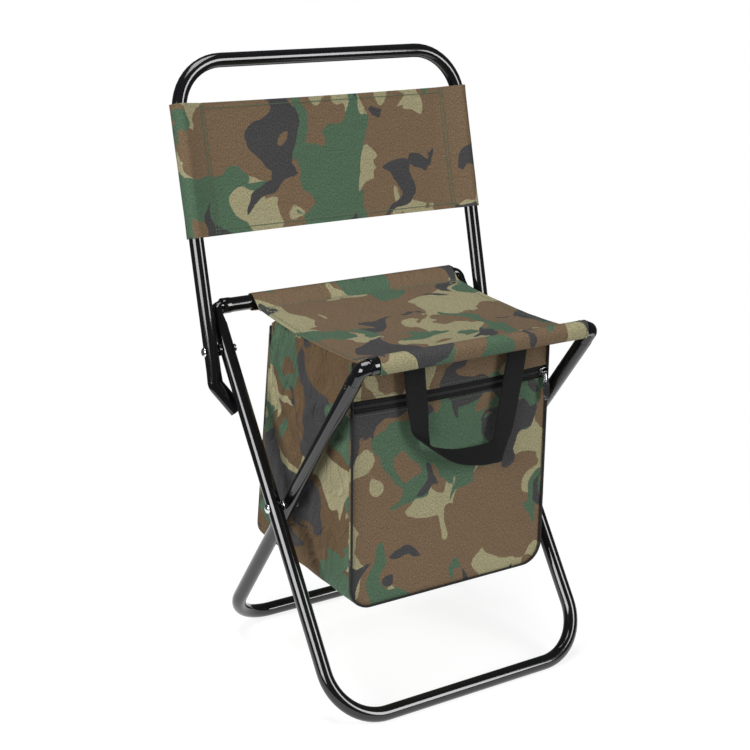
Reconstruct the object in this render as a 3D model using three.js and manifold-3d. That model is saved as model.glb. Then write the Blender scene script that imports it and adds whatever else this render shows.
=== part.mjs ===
// Folding cooler stool: two crossed U-shaped tubes on rivets, a tube backrest that folds forward,
// a cloth seat slung between two rails, and an insulated zip bag that hangs under the seat.
// Lengths are millimetres and angles are degrees. +Z is up and the sitter faces -Y.
// The pieces are placed with y = 0 at the front foot bar, and the last lines move the origin
// to the middle of the footprint, on the floor.
import * as THREE from 'three';
import { mergeVertices } from 'three/addons/utils/BufferGeometryUtils.js';
import Module from 'manifold-3d';

const wasm = await Module();
wasm.setup();

// Steel tube, the same for both leg frames, the rails and the backrest
const tubeRadius = 8;
const tubeWall = 1;
const tubeSides = 16;
const bendSteps = 6;

// Leg frames: the outer one stands in front and carries the rear rail, the inner one the other way
const outerLegHalfSpacing = 161;
const legGap = 1.6;
const footSpan = 277.8;
const footBendRadius = 57;
const frontRailY = -6;
const frontRailHeight = 387.5;
const rearRailY = 259.9;
const rearRailHeight = 390.5;

// Elbows that join leg ends to rail ends, pressed oval at the bend
const legEndInset = 20;
const railEndInset = 8;
const elbowBendRadius = 9;
const elbowPlugLength = 14;
const elbowPlugClearance = 0.4;
const elbowBendHalfThickness = 5.4;
const elbowBendHalfWidth = 7.6;
const elbowTransition = 6;
const railFlareRadius = 8.6;
const railFlareLength = 12;
const railFlareTaper = 3;

// Small pins that lock each elbow in its leg tube
const pinRadius = 1.1;
const pinHeadRadius = 1.9;
const pinHeadHeight = 0.8;
const pinSetback = 6;
const pinBite = 3;

// Rivets, washers and spacers
const seatingGap = 0.3;
const rivetRadius = 2.4;
const rivetHeadRadius = 5;
const rivetHeadHeight = 2.4;
const rivetTailRadius = 4.2;
const rivetTailHeight = 1.6;
const washerRadius = 6;
const spacerLength = 3.2;
const spacerRadius = 6.5;
const roundSides = 20;
const smallSides = 10;
const domeSteps = 3;

// Backrest: an inverted U whose pressed lower ends crank in behind the outer legs and stop it
const backrestPivotShare = 0.8955;
const backrestLength = 305.5;
const backrestLean = 14;
const backrestBendRadius = 55;
const crankStartDrop = 28;
const crankKinkDrop = 38;
const crankContactDrop = 54;
const crankEndDrop = 68;
const crankBendRadius = 10;
const crankHalfWidth = 9;
const crankHalfThickness = 6;
const crankStopGap = 0.5;

// Backrest cloth: a sleeve over both uprights, sewn down beside each of them
const backrestClothRise = 120.6;
const backrestClothHeight = 141.3;
const pocketRadius = 10;
const pocketClearance = 0.6;
const pocketSeamInset = 23.2;
const clothThickness = 1.2;

// Seat: a sling with a loose sleeve round each rail
const sleeveRadius = 10.2;
const sleeveClearance = 0.9;
const frontSleeveEndInset = 2.4;
const frontSleeveShift = 4.1;
const rearSleeveEndReach = 1.8;
const rearSleeveShift = 18.4;
const hemLength = 20;
const hemThickness = 1.4;
const hemAngle = 35;
const seatLegClearance = 4.4;
const seatThickness = 2;
const seatSag = 6;
const seatFrontY = 9.5;
const seatFrontDrop = 2.1;
const seatRearDrop = 2.5;
const seatSteps = 10;

// Cooler bag: front, back and one gusset strip that makes both sides and the bottom
const bagSideInset = 6;
const bagBottom = 110;
const bagCornerRadius = 25;
const bagFrontY = 42;
const bagBackTopY = 202;
const bagBackFlare = 36;
const bagBackLift = 8;
const bagTopGap = 0.4;
const foamThickness = 3;
const slidingGap = 0.4;
const pipingRadius = 1.5;
const cornerSteps = 6;

// Zip across the front of the bag, below a header strip
const zipDrop = 46.28;
const zipTapeHeight = 4.6;
const zipChainHeight = 3;
const zipChainThickness = 2;
const sliderLength = 12;
const sliderHeight = 9;
const sliderThickness = 1.8;
const sliderEarThickness = 1.3;
const sliderEarSpacing = 6.4;
const sliderEarHeight = 3.2;
const bridgeRadius = 0.7;
const bridgeStandOff = 1.9;
const pullBarrelRadius = 1.4;
const pullBarrelClearance = 0.3;
const pullLength = 31;
const pullHalfWidth = 3.6;
const pullNeckHalfWidth = 2.1;
const pullThickness = 1.2;

// Webbing handle
const strapWidth = 25;
const strapThickness = 1.5;
const handleStandOff = 11;
const handleCentreX = 8;
const handleTopShare = 0.512;
const handleBottomShare = 0.432;
const handleDrop = 127;
const handleCornerRadius = 32;
const handleTopGap = 1.5;
const handleTabGap = 0.65;

// How far boolean cutters run past what they cut
const overrun = 1;

const LEFT = -1;
const RIGHT = 1;
const SIDES = [['left', LEFT], ['right', RIGHT]];

// Colours and finishes
const blackPaint = new THREE.MeshStandardMaterial({ color: 0x141517, roughness: 0.25, metalness: 0.6 });
const brightSteel = new THREE.MeshStandardMaterial({ color: 0xb9bcc0, roughness: 0.3, metalness: 1 });
const camoCloth = new THREE.MeshStandardMaterial({ color: 0x6f6450, roughness: 0.9, metalness: 0 });
const silverFoam = new THREE.MeshStandardMaterial({ color: 0xc4c8cb, roughness: 0.4, metalness: 0.3 });
const blackWebbing = new THREE.MeshStandardMaterial({ color: 0x1b1b1d, roughness: 0.85, metalness: 0 });
const blackPiping = new THREE.MeshStandardMaterial({ color: 0x202022, roughness: 0.6, metalness: 0 });
const blackZip = new THREE.MeshStandardMaterial({ color: 0x19191b, roughness: 0.5, metalness: 0 });
const darkMetal = new THREE.MeshStandardMaterial({ color: 0x3a3b3d, roughness: 0.35, metalness: 1 });

const stool = new THREE.Group();

function addPiece(name, geometry, material) {
  const mesh = new THREE.Mesh(geometry, material);
  mesh.name = name;
  stool.add(mesh);
  return mesh;
}

// Booleans
function toSolid(geometry) {
  const bare = geometry.clone();
  for (const attribute of Object.keys(bare.attributes)) {
    if (attribute !== 'position') bare.deleteAttribute(attribute);
  }
  const merged = mergeVertices(bare);
  return new wasm.Manifold(new wasm.Mesh({
    numProp: 3,
    vertProperties: Float32Array.from(merged.attributes.position.array),
    triVerts: Uint32Array.from(merged.index.array),
  }));
}

function fromSolid(solid) {
  const mesh = solid.getMesh();
  const geometry = new THREE.BufferGeometry();
  geometry.setAttribute('position', new THREE.BufferAttribute(mesh.vertProperties, 3));
  geometry.setIndex(new THREE.BufferAttribute(mesh.triVerts, 1));
  return geometry;
}

function cut(geometry, cutters) {
  return fromSolid(cutters.reduce((solid, cutter) => solid.subtract(toSolid(cutter)), toSolid(geometry)));
}

function join(geometry, additions) {
  return fromSolid(additions.reduce((solid, addition) => solid.add(toSolid(addition)), toSolid(geometry)));
}

// Sections and sweeps
// A regular polygon with the middle of one flat at facetAngle
function polygonPoints(radius, sides, facetAngle = 0) {
  const points = [];
  for (let i = 0; i < sides; i++) {
    const angle = facetAngle + (i + 0.5) * 2 * Math.PI / sides;
    points.push(new THREE.Vector2(radius * Math.cos(angle), radius * Math.sin(angle)));
  }
  return points;
}

function tubeSection(facetAngle) {
  const section = new THREE.Shape(polygonPoints(tubeRadius, tubeSides, facetAngle));
  section.holes.push(new THREE.Path(polygonPoints(tubeRadius - tubeWall, tubeSides, facetAngle)));
  return section;
}

// Stations along straight runs joined by arcs: each has a point and the direction of travel
function bentStations(corners, bendRadius, steps) {
  const stations = [];
  const first = corners[1].clone().sub(corners[0]).normalize();
  stations.push({ point: corners[0].clone(), tangent: first });
  for (let i = 1; i < corners.length - 1; i++) {
    const before = corners[i].clone().sub(corners[i - 1]).normalize();
    const after = corners[i + 1].clone().sub(corners[i]).normalize();
    const turn = before.angleTo(after);
    const start = corners[i].clone().addScaledVector(before, -bendRadius * Math.tan(turn / 2));
    const inward = after.clone().addScaledVector(before, -after.dot(before)).normalize();
    for (let step = 0; step <= steps; step++) {
      const angle = turn * step / steps;
      const point = start.clone()
        .addScaledVector(before, bendRadius * Math.sin(angle))
        .addScaledVector(inward, bendRadius * (1 - Math.cos(angle)));
      const tangent = before.clone()
        .multiplyScalar(Math.cos(angle))
        .addScaledVector(inward, Math.sin(angle));
      stations.push({ point, tangent });
    }
  }
  const last = corners[corners.length - 1];
  stations.push({ point: last.clone(), tangent: last.clone().sub(corners[corners.length - 2]).normalize() });
  return stations;
}

// A curve that an extrusion can follow station by station
class StationPath extends THREE.Curve {
  constructor(stations) {
    super();
    this.stations = stations;
  }
  stationAt(share) {
    return this.stations[Math.round(share * (this.stations.length - 1))];
  }
  getPoint(share) {
    return this.stationAt(share).point.clone();
  }
  getPointAt(share) {
    return this.getPoint(share);
  }
  getTangent(share) {
    return this.stationAt(share).tangent.clone();
  }
  getTangentAt(share) {
    return this.getTangent(share);
  }
}

function sweep(section, stations) {
  return new THREE.ExtrudeGeometry(section, {
    steps: stations.length - 1,
    extrudePath: new StationPath(stations),
  });
}

// A closed skin over oval rings: each station also has halfIn, measured in the bend, and
// halfAcross, measured along the across direction
function ovalLoft(stations, across, sides) {
  const positions = [];
  const indices = [];
  for (const { point, tangent, halfIn, halfAcross } of stations) {
    const acrossHere = across.clone().addScaledVector(tangent, -across.dot(tangent)).normalize();
    const inHere = acrossHere.clone().cross(tangent);
    for (const corner of polygonPoints(1, sides)) {
      const place = point.clone()
        .addScaledVector(inHere, halfIn * corner.x)
        .addScaledVector(acrossHere, halfAcross * corner.y);
      positions.push(place.x, place.y, place.z);
    }
  }
  for (let ring = 0; ring < stations.length - 1; ring++) {
    for (let i = 0; i < sides; i++) {
      const a = ring * sides + i;
      const b = ring * sides + (i + 1) % sides;
      indices.push(a, b, a + sides, b, b + sides, a + sides);
    }
  }
  const lastRing = (stations.length - 1) * sides;
  for (let i = 1; i < sides - 1; i++) {
    indices.push(0, i + 1, i, lastRing, lastRing + i, lastRing + i + 1);
  }
  const geometry = new THREE.BufferGeometry();
  geometry.setAttribute('position', new THREE.Float32BufferAttribute(positions, 3));
  geometry.setIndex(indices);
  return geometry;
}

// Extrusions and turned pieces laid along the model's axes
function extrudeAlongX(shapeInYZ, fromX, toX) {
  const geometry = new THREE.ExtrudeGeometry(shapeInYZ, { depth: toX - fromX, bevelEnabled: false });
  const alongX = new THREE.Matrix4().makeBasis(
    new THREE.Vector3(0, 1, 0), new THREE.Vector3(0, 0, 1), new THREE.Vector3(1, 0, 0));
  return geometry.applyMatrix4(alongX).translate(fromX, 0, 0);
}

function extrudeAlongY(shapeInXZ, fromY, toY) {
  const geometry = new THREE.ExtrudeGeometry(shapeInXZ, { depth: toY - fromY, bevelEnabled: false });
  return geometry.rotateX(Math.PI / 2).translate(0, toY, 0);
}

// Profile points are (radius, place along X), in rising order along X
function turnAboutX(profile, sides) {
  const points = profile.map(([radius, along]) => new THREE.Vector2(radius, along));
  return new THREE.LatheGeometry(points, sides).rotateZ(-Math.PI / 2);
}

function cylinderAlongX(radius, fromX, toX, sides) {
  return turnAboutX([[0, fromX], [radius, fromX], [radius, toX], [0, toX]], sides);
}

function boxBetween(low, high) {
  const size = high.clone().sub(low);
  const middle = high.clone().add(low).divideScalar(2);
  return new THREE.BoxGeometry(size.x, size.y, size.z).translate(middle.x, middle.y, middle.z);
}

// Frame places worked out from the driving dimensions
const floorLift = tubeRadius * Math.cos(Math.PI / tubeSides);
const innerLegHalfSpacing = outerLegHalfSpacing - 2 * tubeRadius - legGap;
const backrestHalfSpacing = outerLegHalfSpacing + 2 * tubeRadius + spacerLength;
const seatHalfWidth = innerLegHalfSpacing - tubeRadius - seatLegClearance;
const frontSleeveHalfLength = seatHalfWidth - frontSleeveEndInset;
const rearSleeveHalfLength = seatHalfWidth + rearSleeveEndReach;
const bagHalfWidth = seatHalfWidth - bagSideInset;
const seatFrontTop = frontRailHeight - seatFrontDrop;
const seatRearTop = rearRailHeight - seatRearDrop;

const outerLeg = {
  halfSpacing: outerLegHalfSpacing,
  foot: new THREE.Vector3(0, 0, floorLift),
  rail: new THREE.Vector3(0, rearRailY, rearRailHeight),
};
const innerLeg = {
  halfSpacing: innerLegHalfSpacing,
  foot: new THREE.Vector3(0, footSpan, floorLift),
  rail: new THREE.Vector3(0, frontRailY, frontRailHeight),
};
for (const leg of [outerLeg, innerLeg]) {
  leg.up = leg.rail.clone().sub(leg.foot).normalize();
  leg.lean = Math.atan2(leg.up.y, leg.up.z);
}

function crossingInSideView(a, b) {
  const across = a.up.y * b.up.z - a.up.z * b.up.y;
  const gapY = b.foot.y - a.foot.y;
  const gapZ = b.foot.z - a.foot.z;
  return a.foot.clone().addScaledVector(a.up, (gapY * b.up.z - gapZ * b.up.y) / across);
}
const scissorPivot = crossingInSideView(outerLeg, innerLeg);
const backrestPivot = outerLeg.foot.clone().lerp(outerLeg.rail, backrestPivotShare);

function atX(point, x) {
  return new THREE.Vector3(x, point.y, point.z);
}

// Drill along X through both walls of a tube at one place
function drillThrough(point, x, radius) {
  const reach = tubeRadius + overrun;
  return cylinderAlongX(radius, x - reach, x + reach, smallSides).translate(0, point.y, point.z);
}

// Leg frames: one bent tube each, with a flat facet on the floor under the foot bar
function pinPlaceOnLeg(leg) {
  return leg.rail.clone().addScaledVector(leg.up, -(legEndInset + pinSetback));
}

function pinDrillOnLeg(leg, side) {
  const surface = leg.halfSpacing + tubeRadius;
  const place = pinPlaceOnLeg(leg);
  const depth = tubeWall + elbowPlugClearance + pinBite;
  const ends = [side * (surface - depth), side * (surface + overrun)].sort((a, b) => a - b);
  return cylinderAlongX(pinRadius + seatingGap, ends[0], ends[1], smallSides).translate(0, place.y, place.z);
}

function legTube(leg, rivetPlaces) {
  const end = leg.rail.clone().addScaledVector(leg.up, -legEndInset);
  const corners = [
    atX(end, -leg.halfSpacing), atX(leg.foot, -leg.halfSpacing),
    atX(leg.foot, leg.halfSpacing), atX(end, leg.halfSpacing),
  ];
  const tube = sweep(tubeSection(leg.lean), bentStations(corners, footBendRadius, bendSteps));
  const drills = [];
  for (const [, side] of SIDES) {
    for (const place of rivetPlaces) {
      drills.push(drillThrough(place, side * leg.halfSpacing, rivetRadius + seatingGap));
    }
    drills.push(pinDrillOnLeg(leg, side));
  }
  return cut(tube, drills);
}

addPiece('outer_leg_tube', legTube(outerLeg, [scissorPivot, backrestPivot]), blackPaint);
addPiece('inner_leg_tube', legTube(innerLeg, [scissorPivot]), blackPaint);

// Rails: straight tubes with flared ends
function railTube(leg) {
  const end = leg.halfSpacing - railEndInset;
  const flareFoot = end - railFlareLength;
  const flareTop = flareFoot + railFlareTaper;
  const bore = tubeRadius - tubeWall;
  const flareBore = railFlareRadius - tubeWall;
  const profile = [
    [flareBore, -end], [railFlareRadius, -end], [railFlareRadius, -flareTop], [tubeRadius, -flareFoot],
    [tubeRadius, flareFoot], [railFlareRadius, flareTop], [railFlareRadius, end], [flareBore, end],
    [flareBore, flareTop], [bore, flareFoot], [bore, -flareFoot], [flareBore, -flareTop], [flareBore, -end],
  ];
  return turnAboutX(profile, roundSides).translate(0, leg.rail.y, leg.rail.z);
}

addPiece('rear_rail_tube', railTube(outerLeg), blackPaint);
addPiece('front_rail_tube', railTube(innerLeg), blackPaint);

// Elbows: round plugs at both ends, oval where the tube is pressed round the bend
function elbow(leg, side) {
  const corner = atX(leg.rail, side * leg.halfSpacing);
  const toRail = new THREE.Vector3(-side, 0, 0);
  const legPlugEnd = corner.clone().addScaledVector(leg.up, -(legEndInset + elbowPlugLength));
  const railPlugEnd = corner.clone().addScaledVector(toRail, railEndInset + elbowPlugLength);
  const plugRadius = tubeRadius - tubeWall - elbowPlugClearance;
  const round = { halfIn: plugRadius, halfAcross: plugRadius };
  const oval = { halfIn: elbowBendHalfThickness, halfAcross: elbowBendHalfWidth };
  const bend = bentStations([legPlugEnd, corner, railPlugEnd], elbowBendRadius, bendSteps);
  const bendInner = bend.slice(1, -1);
  const legRim = corner.clone().addScaledVector(leg.up, seatingGap - legEndInset);
  const pressed = legRim.clone().addScaledVector(leg.up, elbowTransition);
  const stations = [
    { ...bend[0], ...round },
    { point: legRim, tangent: leg.up, ...round },
    { point: pressed, tangent: leg.up, ...oval },
    ...bendInner.slice(0, -2).map((station) => ({ ...station, ...oval })),
    { ...bendInner[bendInner.length - 1], ...round },
    { ...bend[bend.length - 1], ...round },
  ];
  const across = leg.up.clone().cross(toRail);
  return cut(ovalLoft(stations, across, tubeSides), [pinDrillOnLeg(leg, side)]);
}

// Fasteners: a domed head outside, a shank, and a flat formed tail
function domeProfile(radius, height, base) {
  const points = [];
  for (let step = 0; step <= domeSteps; step++) {
    const angle = Math.PI / 2 * step / domeSteps;
    points.push([radius * Math.cos(angle), base + height * Math.sin(angle)]);
  }
  points[domeSteps][0] = 0;
  return points;
}

function rivet(gripLength) {
  const half = gripLength / 2 + seatingGap;
  return turnAboutX([
    [0, -half - rivetTailHeight], [rivetTailRadius, -half - rivetTailHeight], [rivetTailRadius, -half],
    [rivetRadius, -half], [rivetRadius, half], ...domeProfile(rivetHeadRadius, rivetHeadHeight, half),
  ], roundSides);
}

function pin() {
  return turnAboutX([
    [0, -tubeWall - elbowPlugClearance - pinBite + seatingGap],
    [pinRadius, -tubeWall - elbowPlugClearance - pinBite + seatingGap],
    [pinRadius, seatingGap], ...domeProfile(pinHeadRadius, pinHeadHeight, seatingGap),
  ], smallSides);
}

function ringAboutX(innerRadius, outerRadius, length) {
  const half = length / 2;
  return turnAboutX([
    [innerRadius, -half], [outerRadius, -half], [outerRadius, half],
    [innerRadius, half], [innerRadius, -half],
  ], roundSides);
}

for (const [sideName, side] of SIDES) {
  for (const [railName, leg] of [['rear', outerLeg], ['front', innerLeg]]) {
    addPiece(`${railName}_elbow_${sideName}`, elbow(leg, side), blackPaint);

    const elbowPin = addPiece(`${railName}_elbow_pin_${sideName}`, pin(), blackPaint);
    elbowPin.position.copy(atX(pinPlaceOnLeg(leg), side * (leg.halfSpacing + tubeRadius)));
    elbowPin.rotation.z = side === LEFT ? Math.PI : 0;
  }

  const scissorOuter = outerLegHalfSpacing + tubeRadius;
  const scissorInner = innerLegHalfSpacing - tubeRadius;
  const scissorGrip = scissorOuter - scissorInner;
  const scissorRivet = addPiece(`scissor_rivet_${sideName}`, rivet(scissorGrip), brightSteel);
  scissorRivet.position.copy(atX(scissorPivot, side * (scissorOuter + scissorInner) / 2));
  scissorRivet.rotation.z = side === LEFT ? Math.PI : 0;

  const washer = ringAboutX(rivetRadius + seatingGap, washerRadius, legGap - 2 * seatingGap);
  const scissorWasher = addPiece(`scissor_washer_${sideName}`, washer, brightSteel);
  scissorWasher.position.copy(atX(scissorPivot, side * (outerLegHalfSpacing - tubeRadius - legGap / 2)));

  const backOuter = backrestHalfSpacing + tubeRadius;
  const backInner = outerLegHalfSpacing - tubeRadius;
  const backRivet = addPiece(`backrest_rivet_${sideName}`, rivet(backOuter - backInner), brightSteel);
  backRivet.position.copy(atX(backrestPivot, side * (backOuter + backInner) / 2));
  backRivet.rotation.z = side === LEFT ? Math.PI : 0;

  const spacer = ringAboutX(rivetRadius + seatingGap, spacerRadius, spacerLength - 2 * seatingGap);
  const backSpacer = addPiece(`backrest_spacer_${sideName}`, spacer, blackPaint);
  backSpacer.position.copy(atX(backrestPivot, side * (outerLegHalfSpacing + tubeRadius + spacerLength / 2)));
}

// Backrest: directions along it and out of its front face
const leanAngle = THREE.MathUtils.degToRad(backrestLean);
const backrestUp = new THREE.Vector3(0, Math.sin(leanAngle), Math.cos(leanAngle));
const backrestForward = new THREE.Vector3(0, -Math.cos(leanAngle), Math.sin(leanAngle));

function onBackrest(x, rise, forward = 0) {
  return atX(backrestPivot, x).addScaledVector(backrestUp, rise).addScaledVector(backrestForward, forward);
}

// The pressed end moves in behind the leg and forward until it bears on it
const legToBackrestAngle = outerLeg.lean - leanAngle;
const crankSeparation = crankContactDrop * Math.sin(legToBackrestAngle);
const crankForward = crankSeparation - tubeRadius - crankHalfThickness - crankStopGap;

function crank(side) {
  const outerX = side * backrestHalfSpacing;
  const innerX = side * outerLegHalfSpacing;
  const corners = [
    onBackrest(outerX, -crankStartDrop),
    onBackrest(outerX, -crankKinkDrop),
    onBackrest(innerX, -crankContactDrop, crankForward),
    onBackrest(innerX, -crankEndDrop, crankForward),
  ];
  const stations = bentStations(corners, crankBendRadius, domeSteps).map((station, index) => {
    const pressed = index > 1;
    return {
      ...station,
      halfIn: pressed ? crankHalfWidth : tubeRadius,
      halfAcross: pressed ? crankHalfThickness : tubeRadius,
    };
  });
  return ovalLoft(stations, backrestForward, tubeSides);
}

const backrestCorners = [
  onBackrest(-backrestHalfSpacing, -crankStartDrop - overrun),
  onBackrest(-backrestHalfSpacing, backrestLength),
  onBackrest(backrestHalfSpacing, backrestLength),
  onBackrest(backrestHalfSpacing, -crankStartDrop - overrun),
];
const backrestPath = bentStations(backrestCorners, backrestBendRadius, bendSteps);

function backrestTube() {
  const whole = join(sweep(tubeSection(0), backrestPath), SIDES.map(([, side]) => crank(side)));
  return cut(whole, SIDES.map(([, side]) =>
    drillThrough(backrestPivot, side * backrestHalfSpacing, rivetRadius + seatingGap)));
}

addPiece('backrest_tube', backrestTube(), blackPaint);

// Backrest cloth: section across the uprights, with a pocket round each and a flat web between
function backrestClothSection() {
  const halfWeb = clothThickness;
  const seamX = backrestHalfSpacing - pocketSeamInset;
  const touch = Math.acos((pocketRadius - halfWeb) / pocketSeamInset);
  const outline = [];
  for (const [, side] of SIDES) {
    outline.push(new THREE.Vector2(side * seamX, side * halfWeb));
    for (let i = 0; i <= tubeSides; i++) {
      const angle = Math.PI - touch - (2 * Math.PI - 2 * touch) * i / tubeSides;
      const x = side * (backrestHalfSpacing + pocketRadius * Math.cos(angle));
      outline.push(new THREE.Vector2(x, side * pocketRadius * Math.sin(angle)));
    }
    outline.push(new THREE.Vector2(side * seamX, -side * halfWeb));
  }
  return new THREE.Shape(outline.reverse());
}

function backrestCloth() {
  const place = onBackrest(0, backrestClothRise);
  const full = new THREE.ExtrudeGeometry(backrestClothSection(), {
    depth: backrestClothHeight, bevelEnabled: false,
  });
  full.rotateX(-leanAngle).translate(place.x, place.y, place.z);
  const pocketBore = new THREE.Shape(polygonPoints(tubeRadius + pocketClearance, tubeSides));
  return cut(full, [sweep(pocketBore, backrestPath)]);
}

addPiece('backrest_cloth', backrestCloth(), camoCloth);

// Seat sleeves: a loose ring of cloth round each rail, the front one with its sewn hem
function sleeveRing(leg, fromX, toX) {
  const ring = new THREE.Shape(polygonPoints(sleeveRadius, roundSides));
  ring.holes.push(new THREE.Path(polygonPoints(tubeRadius + sleeveClearance, roundSides)));
  return extrudeAlongX(ring, fromX, toX).translate(0, leg.rail.y, leg.rail.z);
}

function frontSleeve() {
  const fromX = frontSleeveShift - frontSleeveHalfLength;
  const toX = frontSleeveShift + frontSleeveHalfLength;
  const angle = THREE.MathUtils.degToRad(hemAngle);
  const middleRadius = tubeRadius + sleeveClearance + hemThickness / 2;
  const startY = frontRailY + middleRadius * Math.cos(angle);
  const startZ = frontRailHeight + middleRadius * Math.sin(angle);
  const endY = frontRailY + hemLength;
  const endZ = seatFrontTop + seatingGap + hemThickness / 2;
  const hem = new THREE.Shape([
    new THREE.Vector2(startY, startZ - hemThickness / 2), new THREE.Vector2(endY, endZ - hemThickness / 2),
    new THREE.Vector2(endY, endZ + hemThickness / 2), new THREE.Vector2(startY, startZ + hemThickness / 2),
  ]);
  return join(sleeveRing(innerLeg, fromX, toX), [extrudeAlongX(hem, fromX, toX)]);
}

addPiece('front_seat_sleeve', frontSleeve(), camoCloth);
addPiece('rear_seat_sleeve', sleeveRing(
  outerLeg, rearSleeveShift - rearSleeveHalfLength, rearSleeveShift + rearSleeveHalfLength), camoCloth);

// Seat panel: sags a little between the rails
const seatRearY = rearRailY - sleeveRadius - seatingGap;

function seatTopAt(share) {
  const chord = seatFrontTop + (seatRearTop - seatFrontTop) * share;
  return chord - seatSag * (1 - (2 * share - 1) ** 2);
}

function seatPanel() {
  const top = [];
  for (let i = 0; i <= seatSteps; i++) {
    const share = i / seatSteps;
    top.push(new THREE.Vector2(seatFrontY + (seatRearY - seatFrontY) * share, seatTopAt(share)));
  }
  const underside = top.map((point) => new THREE.Vector2(point.x, point.y - seatThickness));
  return extrudeAlongX(new THREE.Shape([...underside, ...top.reverse()]), -seatHalfWidth, seatHalfWidth);
}

addPiece('seat_panel', seatPanel(), camoCloth);

// Bag outlines, in X and Z: straight sides, round bottom corners and an open top
function trayOutline(topHalf, bottomHalf, bottom, top, radius, centreX = 0) {
  const points = [new THREE.Vector2(centreX - topHalf, top)];
  for (const [, side] of SIDES) {
    for (let i = 0; i <= cornerSteps; i++) {
      const angle = Math.PI / 2 * (side === LEFT ? i : cornerSteps - i) / cornerSteps;
      const x = centreX + side * (bottomHalf - radius + radius * Math.cos(angle));
      points.push(new THREE.Vector2(x, bottom + radius - radius * Math.sin(angle)));
    }
  }
  points.push(new THREE.Vector2(centreX + topHalf, top));
  return points;
}

function inset(distance, top) {
  const half = bagHalfWidth - distance;
  return trayOutline(half, half, bagBottom + distance, top, bagCornerRadius - distance);
}

function bandShape(outerOutline, innerOutline) {
  return new THREE.Shape([...outerOutline, ...innerOutline.slice().reverse()]);
}

const seatMiddleUnderside = Math.min(...Array.from({ length: seatSteps + 1 }, (_, i) =>
  seatTopAt(i / seatSteps))) - seatThickness;
const bagTop = seatMiddleUnderside - bagTopGap;

// The back of the bag leans out and lifts a little towards the bottom, and the rear of a piece
// moves with it
function flareRear(geometry, fromY) {
  const position = geometry.attributes.position;
  for (let i = 0; i < position.count; i++) {
    if (position.getY(i) > fromY) {
      const drop = (bagTop - position.getZ(i)) / (bagTop - bagBottom);
      position.setY(i, position.getY(i) + bagBackFlare * drop);
      position.setZ(i, position.getZ(i) + bagBackLift * drop);
    }
  }
  return geometry;
}

const backClothInnerY = bagBackTopY - clothThickness;
const backLinerY = backClothInnerY - seatingGap - foamThickness;
const linerInset = clothThickness + seatingGap;
const frontLiningInset = linerInset + foamThickness + slidingGap;
const frontClothBackY = bagFrontY + clothThickness;
const gussetFrontY = frontClothBackY + seatingGap;
const middleY = (bagFrontY + bagBackTopY) / 2;

// Fixed part of the bag: gusset, back and their foam lining
addPiece('bag_gusset', flareRear(extrudeAlongY(
  bandShape(inset(0, bagTop), inset(clothThickness, bagTop)),
  gussetFrontY, backClothInnerY - seatingGap), middleY), camoCloth);
addPiece('bag_gusset_lining', flareRear(extrudeAlongY(
  bandShape(inset(linerInset, bagTop), inset(linerInset + foamThickness, bagTop)),
  gussetFrontY, backLinerY - seatingGap), middleY), silverFoam);
addPiece('bag_back', flareRear(extrudeAlongY(
  new THREE.Shape(inset(0, bagTop)), backClothInnerY, bagBackTopY), middleY), camoCloth);
addPiece('bag_back_lining', flareRear(extrudeAlongY(
  new THREE.Shape(inset(linerInset, bagTop)), backLinerY, backLinerY + foamThickness), middleY), silverFoam);

// Sliding part of the bag: front, header, zip and lining, which fold back towards the bag's back
const zipHeight = bagTop - zipDrop;
const zipHalfHeight = zipChainHeight / 2 + seatingGap + zipTapeHeight;
const frontTop = zipHeight - zipHalfHeight - seatingGap;
const headerBottom = zipHeight + zipHalfHeight + seatingGap;

function frontPlate(halfWidth, low, high, fromY, toY) {
  return boxBetween(new THREE.Vector3(-halfWidth, fromY, low), new THREE.Vector3(halfWidth, toY, high));
}

addPiece('bag_front', extrudeAlongY(
  new THREE.Shape(inset(0, frontTop)), bagFrontY, frontClothBackY), camoCloth);
addPiece('bag_header', frontPlate(
  bagHalfWidth, headerBottom, bagTop, bagFrontY, frontClothBackY), camoCloth);
addPiece('bag_front_lining', extrudeAlongY(
  new THREE.Shape(inset(frontLiningInset, bagTop)),
  gussetFrontY, gussetFrontY + foamThickness), silverFoam);

const zipHalfLength = bagHalfWidth - 2 * pipingRadius - seatingGap;
const chainTop = zipHeight + zipChainHeight / 2;
const chainBottom = zipHeight - zipChainHeight / 2;
addPiece('zip_tape_upper', frontPlate(
  zipHalfLength, chainTop + seatingGap, zipHeight + zipHalfHeight, bagFrontY, frontClothBackY), blackZip);
addPiece('zip_tape_lower', frontPlate(
  zipHalfLength, zipHeight - zipHalfHeight, chainBottom - seatingGap, bagFrontY, frontClothBackY), blackZip);
const chainFrontY = frontClothBackY - zipChainThickness;
addPiece('zip_chain', frontPlate(
  zipHalfLength, chainBottom, chainTop, chainFrontY, frontClothBackY), blackZip);

// Piping: a cord round the edge of the front and of the back
function pipingCord(distance, top, y) {
  const half = bagHalfWidth - distance;
  const low = bagBottom + distance;
  const corners = [
    new THREE.Vector3(-half, y, top), new THREE.Vector3(-half, y, low),
    new THREE.Vector3(half, y, low), new THREE.Vector3(half, y, top),
  ];
  const radius = bagCornerRadius - distance;
  return sweep(new THREE.Shape(polygonPoints(pipingRadius, smallSides)),
    bentStations(corners, radius, cornerSteps));
}

addPiece('front_piping', pipingCord(
  pipingRadius, bagTop, bagFrontY - seatingGap - pipingRadius), blackPiping);
addPiece('back_piping', flareRear(pipingCord(
  pipingRadius, bagTop, bagBackTopY + seatingGap + pipingRadius), middleY), blackPiping);

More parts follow.
